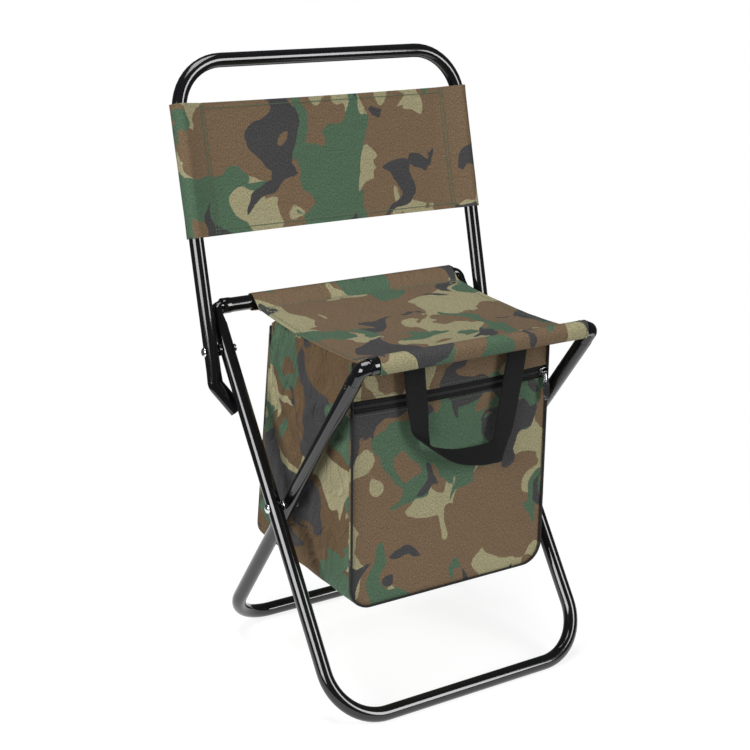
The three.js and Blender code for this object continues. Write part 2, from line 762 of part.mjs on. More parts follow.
// Zip slider: a plate on the chain, two ears and the bridge that the pull hangs on
const sliderX = zipHalfLength - sliderLength / 2;
const sliderBackY = chainFrontY - seatingGap;
const sliderFaceY = sliderBackY - sliderThickness;
const bridgeY = sliderFaceY - bridgeStandOff;
const earOuter = sliderEarSpacing / 2 + sliderEarThickness;

function zipSlider() {
  const plate = boxBetween(
    new THREE.Vector3(-sliderLength / 2, sliderFaceY, -sliderHeight / 2),
    new THREE.Vector3(sliderLength / 2, sliderBackY, sliderHeight / 2));
  const ears = SIDES.map(([, side]) => {
    const ends = [side * sliderEarSpacing / 2, side * earOuter].sort((a, b) => a - b);
    return boxBetween(
      new THREE.Vector3(ends[0], bridgeY - bridgeRadius, -sliderEarHeight / 2),
      new THREE.Vector3(ends[1], sliderFaceY + sliderThickness / 2, sliderEarHeight / 2));
  });
  const bridge = cylinderAlongX(bridgeRadius, -earOuter, earOuter, smallSides).translate(0, bridgeY, 0);
  return join(plate, [...ears, bridge]).translate(sliderX, 0, zipHeight);
}

addPiece('zip_slider', zipSlider(), darkMetal);

// Pull: a barrel round the bridge and a flat tab that hangs from it
function zipPull() {
  const halfBarrel = sliderEarSpacing / 2 - seatingGap;
  const barrel = cylinderAlongX(pullBarrelRadius, -halfBarrel, halfBarrel, smallSides);
  const tabOutline = new THREE.Shape([
    new THREE.Vector2(-pullNeckHalfWidth, -bridgeRadius), new THREE.Vector2(-pullHalfWidth, -pullLength / 2),
    new THREE.Vector2(-pullHalfWidth, pullHalfWidth - pullLength),
    new THREE.Vector2(-pullHalfWidth / 2, -pullLength), new THREE.Vector2(pullHalfWidth / 2, -pullLength),
    new THREE.Vector2(pullHalfWidth, pullHalfWidth - pullLength),
    new THREE.Vector2(pullHalfWidth, -pullLength / 2), new THREE.Vector2(pullNeckHalfWidth, -bridgeRadius),
  ]);
  const tab = extrudeAlongY(tabOutline, -pullThickness / 2, pullThickness / 2);
  const bore = cylinderAlongX(
    bridgeRadius + pullBarrelClearance, -halfBarrel - overrun, halfBarrel + overrun, smallSides);
  return cut(join(barrel, [tab]), [bore]).translate(sliderX, bridgeY, zipHeight);
}

addPiece('zip_pull', zipPull(), darkMetal);

// Handle: a webbing loop that hangs from two sewn ends under the front of the seat
const handleTop = bagTop - handleTopGap;
const handleTopHalfSpacing = handleTopShare * bagHalfWidth;
const handleBottomHalfSpacing = handleBottomShare * bagHalfWidth;
const handleY = bagFrontY - handleStandOff;

function handleStrap() {
  const bottom = handleTop - handleDrop;
  const half = strapWidth / 2;
  const outer = trayOutline(handleTopHalfSpacing + half, handleBottomHalfSpacing + half,
    bottom, handleTop, handleCornerRadius, handleCentreX);
  const inner = trayOutline(handleTopHalfSpacing - half, handleBottomHalfSpacing - half,
    bottom + strapWidth, handleTop, handleCornerRadius - half, handleCentreX);
  return extrudeAlongY(bandShape(outer, inner), handleY - strapThickness / 2, handleY + strapThickness / 2);
}

addPiece('handle_strap', handleStrap(), blackWebbing);

for (const [sideName, side] of SIDES) {
  const centre = handleCentreX + side * handleTopHalfSpacing;
  const tabBackY = bagFrontY - seatingGap;
  const tabFrontY = handleY + strapThickness / 2 + handleTabGap;
  addPiece(`handle_end_${sideName}`, boxBetween(
    new THREE.Vector3(centre - strapWidth / 2, tabFrontY, handleTop - strapThickness),
    new THREE.Vector3(centre + strapWidth / 2, tabBackY, handleTop)), blackWebbing);
}

// Set the origin at the middle of the bounding box, on the floor
stool.updateMatrixWorld(true);
const bounds = new THREE.Box3().setFromObject(stool, true);
stool.position.set(0, -(bounds.min.y + bounds.max.y) / 2, -bounds.min.z);

const part = new THREE.Group();
part.add(stool);

export default part;
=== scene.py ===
# %% [markdown]
# # A folding cooler stool
# The real stool is two bent steel legs that cross on rivets, a steel backrest that folds down, a
# camouflage seat slung between two rails, and an insulated bag with a zip under the seat.
# The packed model gives every size and place. This script dresses it: each node is replaced by a
# smoother or softer piece, and each surface gets a finish made from nodes.

# %% Load the frame
import math

import bmesh
import bpy
from mathutils import Matrix, Vector, noise
from mathutils.bvhtree import BVHTree


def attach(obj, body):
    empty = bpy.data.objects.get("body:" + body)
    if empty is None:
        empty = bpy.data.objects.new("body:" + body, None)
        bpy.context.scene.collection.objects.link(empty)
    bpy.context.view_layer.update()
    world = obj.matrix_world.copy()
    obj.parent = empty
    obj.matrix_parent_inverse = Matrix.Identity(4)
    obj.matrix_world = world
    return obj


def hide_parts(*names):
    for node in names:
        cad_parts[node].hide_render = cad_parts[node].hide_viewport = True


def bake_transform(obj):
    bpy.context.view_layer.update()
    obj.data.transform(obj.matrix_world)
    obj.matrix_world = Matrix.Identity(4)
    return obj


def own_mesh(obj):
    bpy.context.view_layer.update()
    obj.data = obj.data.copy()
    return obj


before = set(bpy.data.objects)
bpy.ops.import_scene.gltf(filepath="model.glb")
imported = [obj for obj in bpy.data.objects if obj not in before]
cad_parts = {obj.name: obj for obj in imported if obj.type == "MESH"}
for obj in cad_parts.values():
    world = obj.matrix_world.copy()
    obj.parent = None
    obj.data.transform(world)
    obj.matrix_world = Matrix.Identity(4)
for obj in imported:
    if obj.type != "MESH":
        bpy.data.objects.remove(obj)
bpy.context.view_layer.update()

# %% [markdown]
# ## Sizes
# The sizes are the ones that the solids were made from, in millimetres, with y measured from the
# front foot bar. One function turns such a place into Blender's metres, so that each number below
# can be read as a real length.

# %% Sizes of the frame
mm = 0.001
foot_bar_y = -149.282
tube_radius, tube_wall = 8.0, 1.0
outer_x, inner_x, back_x = 161.0, 143.4, 180.2
foot_height, foot_bend = 7.846, 57.0
outer_foot, outer_rail = (0.0, foot_height), (259.9, 390.5)
inner_foot, inner_rail = (277.8, foot_height), (-6.0, 387.5)
scissor_place, back_place = (132.25, 202.558), (232.74, 350.513)
back_lean = math.radians(14)


def at(x, y, z):
    """A place in millimetres from the front foot bar, as a vector in metres."""
    return Vector((x, y + foot_bar_y, z)) * mm


def lean_of(foot, rail):
    """How far a leg leans back from upright, from the places of its foot and its rail."""
    return math.atan2(rail[0] - foot[0], rail[1] - foot[1])


outer_lean, inner_lean = lean_of(outer_foot, outer_rail), lean_of(inner_foot, inner_rail)
outer_length, inner_length = math.dist(outer_foot, outer_rail), math.dist(inner_foot, inner_rail)
print("legs lean", round(math.degrees(outer_lean), 1), "and", round(math.degrees(inner_lean), 1))

# %% [markdown]
# ## The camera and the light
# The photograph was taken from a little above the seat, in front of the stool and about a tenth of a
# turn towards the sitter's right. A camera could be aimed at a target, but its place and its three
# angles are typed in here, because they were worked out from the tubes. A long lens keeps the tubes
# nearly parallel. Three soft lamps stand round the stool, because glossy black paint shows little but
# what it reflects, and long lamps give it long streaks.

# %% Camera
eye = Vector((-0.8939, -1.3248, 0.8098))
yaw, pitch, roll = 0.580, 0.299, 0.011
lens_length, sensor_width = 73.7, 36
forward = Vector((math.sin(yaw) * math.cos(pitch), math.cos(yaw) * math.cos(pitch), -math.sin(pitch)))
level = Vector((math.cos(yaw), -math.sin(yaw), 0))
above = level.cross(forward)
side_way = level * math.cos(roll) + above * math.sin(roll)
up_way = above * math.cos(roll) - level * math.sin(roll)
camera = bpy.data.objects.new("camera", bpy.data.cameras.new("camera"))
bpy.context.scene.collection.objects.link(camera)
camera.data.lens, camera.data.sensor_width = lens_length, sensor_width
camera.matrix_world = Matrix((*zip(side_way, up_way, -forward, eye), (0, 0, 0, 1)))
bpy.context.scene.camera = camera
print("camera at", [round(value, 3) for value in eye])

# %% Lamps and the white room
bpy.context.scene.view_settings.view_transform = "Standard"


def soft_lamp(name, place, aim, width, height, watts):
    lamp = bpy.data.objects.new(name, bpy.data.lights.new(name, "AREA"))
    bpy.context.scene.collection.objects.link(lamp)
    lamp.data.shape = "RECTANGLE"
    lamp.data.size, lamp.data.size_y, lamp.data.energy = width, height, watts
    lamp.location = place
    lamp.rotation_euler = (Vector(aim) - Vector(place)).to_track_quat("-Z", "Y").to_euler()


soft_lamp("lamp_left", (-1.96, -0.78, 0.95), (-0.1, 0, 0.32), 1.45, 1.1, 49)
soft_lamp("lamp_right", (1.05, -1.95, 1.05), (0, 0, 0.35), 0.8, 1.25, 33)
soft_lamp("lamp_top", (-0.2, 0.1, 2.2), (0, 0, 0.3), 1.2, 1.0, 24)

room = bpy.data.worlds.new("white_room")
bpy.context.scene.world = room
room.use_nodes = True
room.node_tree.nodes.clear()
seen, lit, which, either, room_out = (room.node_tree.nodes.new(kind) for kind in (
    "ShaderNodeBackground", "ShaderNodeBackground", "ShaderNodeLightPath", "ShaderNodeMixShader",
    "ShaderNodeOutputWorld"))
seen.inputs["Color"].default_value = (1, 1, 1, 1)
lit.inputs["Color"].default_value = (0.92, 0.96, 1, 1)
lit.inputs["Strength"].default_value = 0.08
for start, end in ((which.outputs["Is Camera Ray"], either.inputs[0]),
                   (lit.outputs[0], either.inputs[1]), (seen.outputs[0], either.inputs[2]),
                   (either.outputs[0], room_out.inputs["Surface"])):
    room.node_tree.links.new(start, end)
print("three lamps and a white room")

# %% [markdown]
# ## How finishes are written
# A finish is a small program of nodes. The class below wraps one socket, so that plain Python sums
# add Math nodes, and one method of a finish adds every other node. Colours go through Mix nodes.

# %% A socket that Python's operators act on
class Field:
    """One socket of a finish, for sums written in Python."""

    def __init__(self, finish, socket):
        self.finish = finish
        self.socket = socket

    def sum_of(self, operation, *values):
        return self.finish.node("ShaderNodeMath", {"operation": operation}, dict(enumerate(values)))

    def __add__(self, other):
        return self.sum_of("ADD", self, other)

    def __radd__(self, other):
        return self.sum_of("ADD", other, self)

    def __sub__(self, other):
        return self.sum_of("SUBTRACT", self, other)

    def __rsub__(self, other):
        return self.sum_of("SUBTRACT", other, self)

    def __mul__(self, other):
        return self.sum_of("MULTIPLY", self, other)

    def __rmul__(self, other):
        return self.sum_of("MULTIPLY", other, self)

    def sine(self):
        return self.sum_of("SINE", self)

    def size(self):
        return self.sum_of("ABSOLUTE", self)


print(Field.__doc__)

# %% A finish and its nodes
class Finish:
    """A material with one Principled shader and one way to add nodes."""

    def __init__(self, name, **constants):
        self.material = bpy.data.materials.new(name)
        self.material.use_nodes = True
        self.tree = self.material.node_tree
        self.tree.nodes.clear()
        out = self.tree.nodes.new("ShaderNodeOutputMaterial")
        self.shader = self.tree.nodes.new("ShaderNodeBsdfPrincipled")
        self.tree.links.new(self.shader.outputs[0], out.inputs["Surface"])
        for socket, value in constants.items():
            self.shader.inputs[self.label(socket)].default_value = value

    def label(self, name):
        return name.replace("_", " ").title().replace("Ior", "IOR")

    def plug(self, socket, value):
        if isinstance(value, Field):
            self.tree.links.new(value.socket, socket)
        else:
            socket.default_value = value

    def node(self, kind, settings, sockets, output=0):
        """Adds a node: its settings first, then the values or links of its sockets."""
        made = self.tree.nodes.new(kind)
        for key, value in settings.items():
            setattr(made, key, value)
        for key, value in sockets.items():
            self.plug(made.inputs[key], value)
        return Field(self, made.outputs[output])

    def drive(self, **sockets):
        """Links what changes over the surface to the shader."""
        for socket, value in sockets.items():
            self.plug(self.shader.inputs[self.label(socket)], value)
        print(self.material.name, len(self.tree.nodes), "nodes")

    def place(self):
        return self.node("ShaderNodeTexCoord", {}, {}, "Object")

    def on_cloth(self):
        """The piece's own flat map, in metres of cloth."""
        return self.node("ShaderNodeUVMap", {"uv_map": "cloth"}, {})

    def moved(self, vector, shift=(0, 0, 0), turn=(0, 0, 0), scale=(1, 1, 1)):
        return self.node("ShaderNodeMapping", {}, {
            "Vector": vector, "Location": shift, "Rotation": turn, "Scale": scale})

    def grain(self, vector, scale, detail=2.0, roughness=0.5, distortion=0.0, output="Fac"):
        return self.node("ShaderNodeTexNoise", {}, {
            "Vector": vector, "Scale": scale, "Detail": detail, "Roughness": roughness,
            "Distortion": distortion}, output)

    def step(self, value, low, high, soft=True):
        """0 below low, 1 above high, and a ramp between."""
        settings = {"interpolation_type": "SMOOTHSTEP" if soft else "LINEAR"}
        return self.node("ShaderNodeMapRange", settings, {
            "Value": value, "From Min": low, "From Max": high})

    def spread(self, value, low, high):
        return self.node("ShaderNodeMapRange", {}, {"Value": value, "To Min": low, "To Max": high})

    def mix(self, share, first, second, how="MIX"):
        return self.node("ShaderNodeMix", {"data_type": "RGBA", "blend_type": how}, {
            0: share, 6: first, 7: second}, 2)

    def relief(self, height, depth, strength=1.0, under=None):
        sockets = {"Height": height, "Distance": depth, "Strength": strength}
        if under:
            sockets["Normal"] = under
        return self.node("ShaderNodeBump", {}, sockets)

    def split(self, vector):
        return [self.node("ShaderNodeSeparateXYZ", {}, {0: vector}, axis) for axis in range(2)]


def paint(red, green, blue):
    """A colour as a screen shows it (0 to 255), as the linear colour that a shader takes."""
    def linear(value):
        value /= 255
        return value / 12.92 if value <= 0.04045 else ((value + 0.055) / 1.055) ** 2.4
    return (linear(red), linear(green), linear(blue), 1)


print(Finish.__doc__)

# %% [markdown]
# ## Gloss black paint
# The tubes are powder-coated: a smooth black coat with a thin clear top. One flat black would do from
# afar, but it would look like glass. So the coat is a little duller in patches, from dust and rubbing,
# and has a very faint orange-peel ripple and a few specks, which soften the long streaks.

# %% Black paint
black_paint = Finish("black_paint", coat_roughness=0.04, specular_ior_level=0.5)
on_paint = black_paint.place()
patches = black_paint.grain(on_paint, 26, 3)
peel = black_paint.grain(on_paint, 130, 1, 0.5)
specks = black_paint.step(black_paint.grain(on_paint, 900, 1), 0.72, 0.78)
black_paint.drive(
    base_color=black_paint.mix(patches, (0.0025, 0.0025, 0.003, 1), (0.006, 0.006, 0.0065, 1)),
    roughness=black_paint.spread(patches, 0.07, 0.16) + specks * 0.12,
    coat_weight=black_paint.spread(patches, 0.4, 0.2),
    normal=black_paint.relief(peel, 0.00003, 0.03),
)

# %% [markdown]
# ## Bright steel
# Rivets and washers are zinc-plated steel. Turning marks could be drawn as rings, but they would be
# too small to see, so a fine noise spreads the shine, with thin dark stains.

# %% Bright steel
bright_steel = Finish("bright_steel", metallic=1.0)
on_steel = bright_steel.place()
stains = bright_steel.step(bright_steel.grain(on_steel, 700, 3, 0.6), 0.5, 0.75)
bright_steel.drive(
    base_color=bright_steel.mix(stains, (0.78, 0.79, 0.80, 1), (0.42, 0.42, 0.43, 1)),
    roughness=bright_steel.spread(stains, 0.16, 0.42),
    normal=bright_steel.relief(bright_steel.grain(on_steel, 1500, 2), 0.00003, 0.4),
)

# %% [markdown]
# ## Camouflage cloth
# The seat, backrest and bag are printed polyester: a brown ground, with khaki, green and near-black
# shapes printed over it in that order. A picture of the print could be laid on, but it would repeat
# and blur from close by. Here each ink is a field of noise cut at a level: a ridge of one noise is
# thinned by a second, which leaves long arms, and both are read at places that a third one pushes
# about. A cell pattern gives the edges their lobes. The print lies on each piece's own flat map, so
# it follows folds and seams, and each panel is cut from its own spot of the roll.

# %% Inks of the print
# the second brown is the side's ground, painted darker as painted shade
ground_brown, side_brown_painted_shade = paint(112, 93, 72), paint(99, 80, 58)
# colour, spot of the noise, stretch along the roll, scales of the ridge and of the thinning noise,
# weights of the thinning noise and of the ridge, and the level where the ink begins
inks = (
    (paint(151, 145, 113), (3.1, 1.7, 0), 0.6, 18, 15, 1.10, 0.80, 0.494),
    (paint(76, 100, 79), (7.3, 5.1, 0), 0.6, 18, 15, 1.10, 0.80, 0.527),
    (paint(66, 65, 66), (1.9, 9.4, 0), 0.7, 17, 13.5, 0.94, 1.05, 0.531))
push_reach, ink_edge, thread_pitch = 0.092, 0.004, 0.00062
print(len(inks), "inks on a brown ground")


# %% Camouflage print
def printed(finish, flat, angle, ground):
    """The four colours of the print, on a flat map turned by so many degrees."""
    lying = finish.moved(flat, turn=(0, 0, math.radians(angle)))
    push = finish.grain(lying, 18.5, 0.5, 0.4, output="Color")
    centred = finish.node("ShaderNodeVectorMath", {"operation": "SUBTRACT"}, {
        0: push, 1: (0.5, 0.5, 0.5)})
    scaled = finish.node("ShaderNodeVectorMath", {"operation": "SCALE"}, {
        0: centred, "Scale": push_reach})
    pushed = finish.node("ShaderNodeVectorMath", {"operation": "ADD"}, {0: lying, 1: scaled})
    lobes = finish.node("ShaderNodeTexVoronoi", {"voronoi_dimensions": "2D", "feature": "SMOOTH_F1"}, {
        "Vector": pushed, "Scale": 58, "Smoothness": 0.25})
    edge = (finish.grain(lying, 55, 1, 0.4) - 0.5) * 0.055 + (0.42 - lobes) * 0.065
    colour = ground
    for ink, shift, stretch, branching, spacing, spread, ridge, level_at in inks:
        spot = finish.moved(pushed, shift=shift, scale=(1, stretch, 1))
        other = finish.moved(pushed, shift=(shift[1], shift[0], 0), scale=(1, stretch, 1))
        field = 0.5 - (finish.grain(spot, branching, 0.3, 0.2) - 0.5).size() * ridge
        field = field + (finish.grain(other, spacing, 0.3) - 0.5) * spread + edge
        colour = finish.mix(finish.step(field, level_at - ink_edge, level_at + ink_edge), colour, ink)
    return colour


# %% [markdown]
# ## Weave and crumples
# Close to, the cloth shows its threads, thicker slubs and a mottle, which darken the print and roughen
# it. A crumple is the thin line where a noise passes its middle. Two such noises cross, and their
# lines are a relief and are painted lighter, as painted highlight. The first noise also paints the
# cloth darker and lighter across its folds, as painted shade and light. The bag's side is crumpled
# most, and its ground is painted darker than elsewhere, as painted shade. The noise's scale changes
# along the roll, so that no two panels are alike.

# %% Camouflage cloth
def camouflage(name, angle, crumple, ground=ground_brown):
    weave_of = Finish(name, specular_ior_level=0.12, sheen_weight=0.02, sheen_roughness=0.5)
    flat = weave_of.on_cloth()
    colour = printed(weave_of, flat, angle, ground)
    across, along = weave_of.split(flat)
    weave = (across * (math.pi / thread_pitch)).sine() * (along * (math.pi / thread_pitch)).sine()
    slub = weave_of.grain(weave_of.moved(flat, scale=(1, 0.5, 1)), 900, 1)
    mottle = weave_of.grain(flat, 640, 3, 0.7)
    folded = weave_of.grain(weave_of.moved(flat, scale=along), 11, 1.2, 0.4, 0.4)
    turned_flat = weave_of.moved(flat, shift=(4, 2, 0), turn=(0, 0, 0.8), scale=along)
    crossed = weave_of.grain(turned_flat, 15, 0.8, 0.4, 0.3)
    creases = (weave_of.step((folded - 0.5).size(), 0.0, 0.05, False)
               + weave_of.step((crossed - 0.5).size(), 0.0, 0.04, False) * 0.7)
    shade = weave * 0.10 + slub * 1.15 + mottle * 0.65 - 0.045
    # painted light and shade: crease lines are painted lighter, and the fold noise paints bands darker and
    # lighter, more where crumple is large
    shade = shade * (1.0 + (1.7 - creases) * crumple * 0.30 - (folded - 0.5) * crumple * 0.6)
    grey = weave_of.node("ShaderNodeCombineXYZ", {}, {0: shade, 1: shade, 2: shade})
    crumpled = weave_of.relief(creases + folded * 5 + crossed * 3, 0.0045, crumple)
    weave_of.drive(
        base_color=weave_of.mix(1.0, colour, grey, "MULTIPLY"),
        roughness=weave_of.spread(mottle, 0.72, 0.95),
        normal=weave_of.relief(weave * 0.5 + slub * 0.8, 0.00022, 0.7, crumpled),
    )
    return weave_of


camo_upright = camouflage("camo_cloth_upright", 12, 0.10)
# the side's cloth has the most painted crease light and shade, and its darker ground is painted shade
camo_side = camouflage("camo_cloth_side", 12, 0.56, side_brown_painted_shade)
camo_seat = camouflage("camo_cloth_seat", 84, 0.14)

# %% [markdown]
# ## Foam, webbing, piping and zip
# The bag's inside is foam with a crinkled silver film. The handle is ribbed webbing, the piping and
# the zip tapes are fine black weave, and the zip's coil is black nylon with a soft shine. They could
# all be plain black, but they differ in how they take the light, so each has its own weave, colour
# and dullness. The slider and its pull are dark plated metal, worn bright in patches.

# %% Silver foam
silver_foam = Finish("silver_foam", metallic=0.85)
on_foam = silver_foam.place()
crinkle = silver_foam.grain(on_foam, 95, 5, 0.62)
cells = silver_foam.node("ShaderNodeTexVoronoi", {"feature": "SMOOTH_F1"}, {
    "Vector": on_foam, "Scale": 260})
silver_foam.drive(
    base_color=silver_foam.mix(crinkle, (0.62, 0.63, 0.65, 1), (0.83, 0.84, 0.86, 1)),
    roughness=silver_foam.spread(crinkle, 0.22, 0.5),
    normal=silver_foam.relief(crinkle + cells * 0.3, 0.0012, 0.5),
)

# %% Black webbing
black_webbing = Finish("black_webbing", sheen_weight=0.03, sheen_roughness=0.4,
                       specular_ior_level=0.15)
on_web = black_webbing.on_cloth()
web_across, web_along = black_webbing.split(on_web)
ribs = (web_along * (math.pi / 0.0013)).sine() * (web_across * (math.pi / 0.0012)).sine()
fuzz = black_webbing.grain(on_web, 900, 2)
raised = black_webbing.step(ribs + fuzz * 0.8, -0.2, 1.2)
black_webbing.drive(
    base_color=black_webbing.mix(raised, (0.004, 0.004, 0.0042, 1), (0.015, 0.015, 0.0155, 1)),
    roughness=black_webbing.spread(fuzz, 0.68, 0.92),
    normal=black_webbing.relief(ribs + fuzz * 0.6, 0.00035, 0.7),
)

# %% Black piping and zip tape
def black_weave(name, pitch, dull, light):
    weave_of = Finish(name, sheen_weight=0.03, specular_ior_level=0.2)
    spot = weave_of.place()
    fine = weave_of.grain(spot, 1 / pitch, 2, 0.55)
    weave_of.drive(
        base_color=weave_of.mix(fine, (0.004, 0.004, 0.0045, 1), (light, light, light, 1)),
        roughness=weave_of.spread(fine, dull - 0.12, dull + 0.1),
        normal=weave_of.relief(fine, pitch * 0.25, 0.6),
    )
    return weave_of


black_piping = black_weave("black_piping", 0.0009, 0.62, 0.018)
zip_cloth = black_weave("zip_tape", 0.0007, 0.85, 0.006)
zip_coil = black_weave("zip_coil", 0.0008, 0.42, 0.055)

# %% Dark metal and threads
dark_metal = Finish("dark_metal", metallic=0.9)
on_dark = dark_metal.place()
worn = dark_metal.step(dark_metal.grain(on_dark, 420, 4, 0.6), 0.52, 0.7)
dark_metal.drive(
    base_color=dark_metal.mix(worn, (0.15, 0.15, 0.155, 1), (0.45, 0.45, 0.44, 1)),
    roughness=dark_metal.spread(worn, 0.10, 0.22),
    normal=dark_metal.relief(dark_metal.grain(on_dark, 1200, 2), 0.00002, 0.2),
)


def thread(name, low, high):
    twist = Finish(name, sheen_weight=0.2)
    strands = twist.grain(twist.place(), 2600, 2)
    twist.drive(base_color=twist.mix(strands, low, high), roughness=twist.spread(strands, 0.55, 0.8),
                normal=twist.relief(strands, 0.0001, 0.6))
    return twist


green_thread = thread("green_thread", paint(34, 54, 33), paint(74, 98, 68))
khaki_thread = thread("khaki_thread", paint(112, 110, 78), paint(160, 156, 120))
print(len(bpy.data.materials), "materials")

# %% [markdown]
# ## Working in edit mode
# Everything below starts with nothing selected, because an operator acts on all that is selected.
# These helpers open a piece, choose its corners or faces by place, and close it again.

# %% Helpers for modelling
def nothing_selected():
    if bpy.context.object and bpy.context.object.mode != "OBJECT":
        bpy.ops.object.mode_set(mode="OBJECT")
    bpy.ops.object.select_all(action="DESELECT")


def choose(piece):
    """Makes one piece the only one that an operator acts on."""
    nothing_selected()
    piece.select_set(True)
    bpy.context.view_layer.objects.active = piece


def open_piece(piece, select="SELECT"):
    choose(piece)
    bpy.ops.object.mode_set(mode="EDIT")
    bpy.ops.mesh.select_all(action=select)


def close_piece():
    bpy.ops.object.mode_set(mode="OBJECT")


def apply_place(piece):
    """Moves a piece's place and turn into its mesh, so that its object sits at the origin."""
    choose(piece)
    bpy.ops.object.transform_apply(location=True, rotation=True, scale=True)


def apply_modifiers(piece):
    choose(piece)
    for modifier in list(piece.modifiers):
        bpy.ops.object.modifier_apply(modifier=modifier.name)


def face_outwards(piece):
    open_piece(piece)
    bpy.ops.mesh.remove_doubles(threshold=0.00001)
    bpy.ops.mesh.normals_make_consistent(inside=False)
    close_piece()


def smooth(piece, degrees=40):
    choose(piece)
    bpy.ops.object.shade_smooth_by_angle(angle=math.radians(degrees))


def thicken(piece, thickness, offset):
    wall = piece.modifiers.new("wall", "SOLIDIFY")
    wall.thickness, wall.offset, wall.use_even_offset = thickness, offset, True
    apply_modifiers(piece)


def wave(x, y, seed, size):
    """A soft bump field between -1 and 1, at features of the given size in millimetres."""
    return noise.noise(Vector((x / size + seed * 7.31, y / size - seed * 3.17, seed * 1.93)))


def bump(value, centre, width):
    """A round hump: 1 at its centre, and next to nothing two widths away."""
    return math.exp(-((value - centre) / width) ** 2)


def another(piece):
    """A copy of a piece with a mesh of its own."""
    copy = piece.copy()
    copy.data = piece.data.copy()
    bpy.context.scene.collection.objects.link(copy)
    return copy


def mirrored(piece):
    """The same piece on the other side, with its own mesh and its faces outwards."""
    copy = another(piece)
    copy.scale.x = -1
    apply_place(copy)
    face_outwards(copy)
    return copy


def join_pieces(pieces):
    nothing_selected()
    for piece in pieces:
        piece.select_set(True)
    bpy.context.view_layer.objects.active = pieces[0]
    bpy.ops.object.join()
    return pieces[0]


def hand_over(piece, name, slot, finish, body, *nodes):
    """Names a finished piece, gives it its finish, hides the nodes it stands for, and ties it to a named
    body.
    """
    piece.name = piece.data.name = name
    piece.data.materials.clear()
    piece.data.materials.append(finish.material)
    if nodes:
        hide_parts(*nodes)
    if isinstance(body, str):
        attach(piece, body)
    else:
        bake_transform(piece)
    print(name, len(piece.data.polygons), "faces")
    return piece


print("a wave's height at one place:", round(wave(10, 20, 1, 60), 3))

# %% [markdown]
# ## Bent tubes
# A tube bender draws a straight pipe round a former. A ring does the same here: it is extruded along
# each straight run and spun round each bend, so that the wall stays even. The ring can be squeezed
# flat at the end of a run, as a press does. The wall thickness comes last.

# %% A ring drawn along corners
def bent_tube(corners, bends, radius, squeezes=None, sides=32, steps=12, wall=None):
    """corners in metres; bends gives each inner corner's radius; squeezes gives ring scales by run."""
    squeezes = squeezes or {}
    nothing_selected()
    first = (corners[1] - corners[0]).normalized()
    bpy.ops.mesh.primitive_circle_add(
        vertices=sides, radius=radius, location=corners[0],
        rotation=first.to_track_quat("Z", "Y").to_euler())
    tube = bpy.context.object
    apply_place(tube)
    open_piece(tube)
    if "start" in squeezes:
        bpy.ops.transform.resize(value=squeezes["start"], center_override=corners[0])
    here = corners[0]
    for run in range(1, len(corners)):
        corner = corners[run]
        before = (corner - here).normalized()
        last = run == len(corners) - 1
        after = before if last else (corners[run + 1] - corner).normalized()
        turn = 0 if last else before.angle(after)
        reach = 0 if turn < 0.001 else bends[run - 1] * math.tan(turn / 2)
        stop = corner - before * reach
        bpy.ops.mesh.extrude_region_move(TRANSFORM_OT_translate={"value": stop - here})
        if run in squeezes:
            bpy.ops.transform.resize(value=squeezes[run], center_override=stop)
        here = stop
        if reach:
            axis = before.cross(after).normalized()
            centre = stop + axis.cross(before) * bends[run - 1]
            bpy.ops.mesh.spin(steps=steps, angle=-turn, center=centre, axis=axis)
            here = corner + after * reach
    close_piece()
    face_outwards(tube)
    start_face = min(tube.data.polygons, key=lambda face: (face.center - corners[0]).length)
    outward = start_face.center - corners[0]
    if start_face.normal.dot(outward - first * outward.dot(first)) < 0:
        open_piece(tube)
        bpy.ops.mesh.flip_normals()
        close_piece()
    if wall:
        thicken(tube, wall, -1)
    smooth(tube)
    return tube


def stand_up(tube, lean, place):
    """Turns a tube that was drawn standing straight, and sets it on its place."""
    tube.rotation_euler.x = -lean
    tube.location = place
    apply_place(tube)
    return tube


print("tubes can be bent;", bent_tube.__doc__)

# %% A ring drawn along X
def drawn(profile, sides, filled):
    """Extrudes a ring along X and scales it at each (radius, along) of the profile."""
    radius, along = profile[0]
    nothing_selected()
    bpy.ops.mesh.primitive_circle_add(
        vertices=sides, radius=radius * mm, fill_type="NGON" if filled else "NOTHING",
        rotation=(0, math.pi / 2, 0), location=(along * mm, 0, 0))
    piece = bpy.context.object
    apply_place(piece)
    open_piece(piece)
    for next_radius, next_along in profile[1:]:
        bpy.ops.mesh.extrude_region_move(
            TRANSFORM_OT_translate={"value": ((next_along - along) * mm, 0, 0)})
        scale = next_radius / radius
        bpy.ops.transform.resize(value=(1, scale, scale), center_override=(next_along * mm, 0, 0))
        radius, along = next_radius, next_along
    close_piece()
    face_outwards(piece)
    return piece


print(drawn.__doc__)

# %% Legs
plug_gap = 20


def leg(half, length, lean, foot, name, body, node):
    """A U of tube, drawn standing straight, that ends where the elbows plug into it."""
    end = (length - plug_gap) * mm
    corners = [Vector((-half * mm, 0, end)), Vector((-half * mm, 0, 0)),
               Vector((half * mm, 0, 0)), Vector((half * mm, 0, end))]
    tube = bent_tube(corners, [foot_bend * mm] * 2, tube_radius * mm, steps=16, wall=tube_wall * mm)
    stand_up(tube, lean, at(0, *foot))
    return hand_over(tube, name, "black_paint", black_paint, body, node)


leg(outer_x, outer_length, outer_lean, outer_foot, "outer_leg", "frame", "outer_leg_tube")
leg(inner_x, inner_length, inner_lean, inner_foot, "inner_leg", "inner_frame", "inner_leg_tube")

# %% [markdown]
# ## Rails and elbows
# Each rail is a straight tube whose ends are flared to a collar. An elbow is a short tube that is
# pressed flatter where it turns, plugs into the leg below and slides into the collar. The ring is
# scaled between extrudes for the collar, and squeezed before its bend for the elbow.

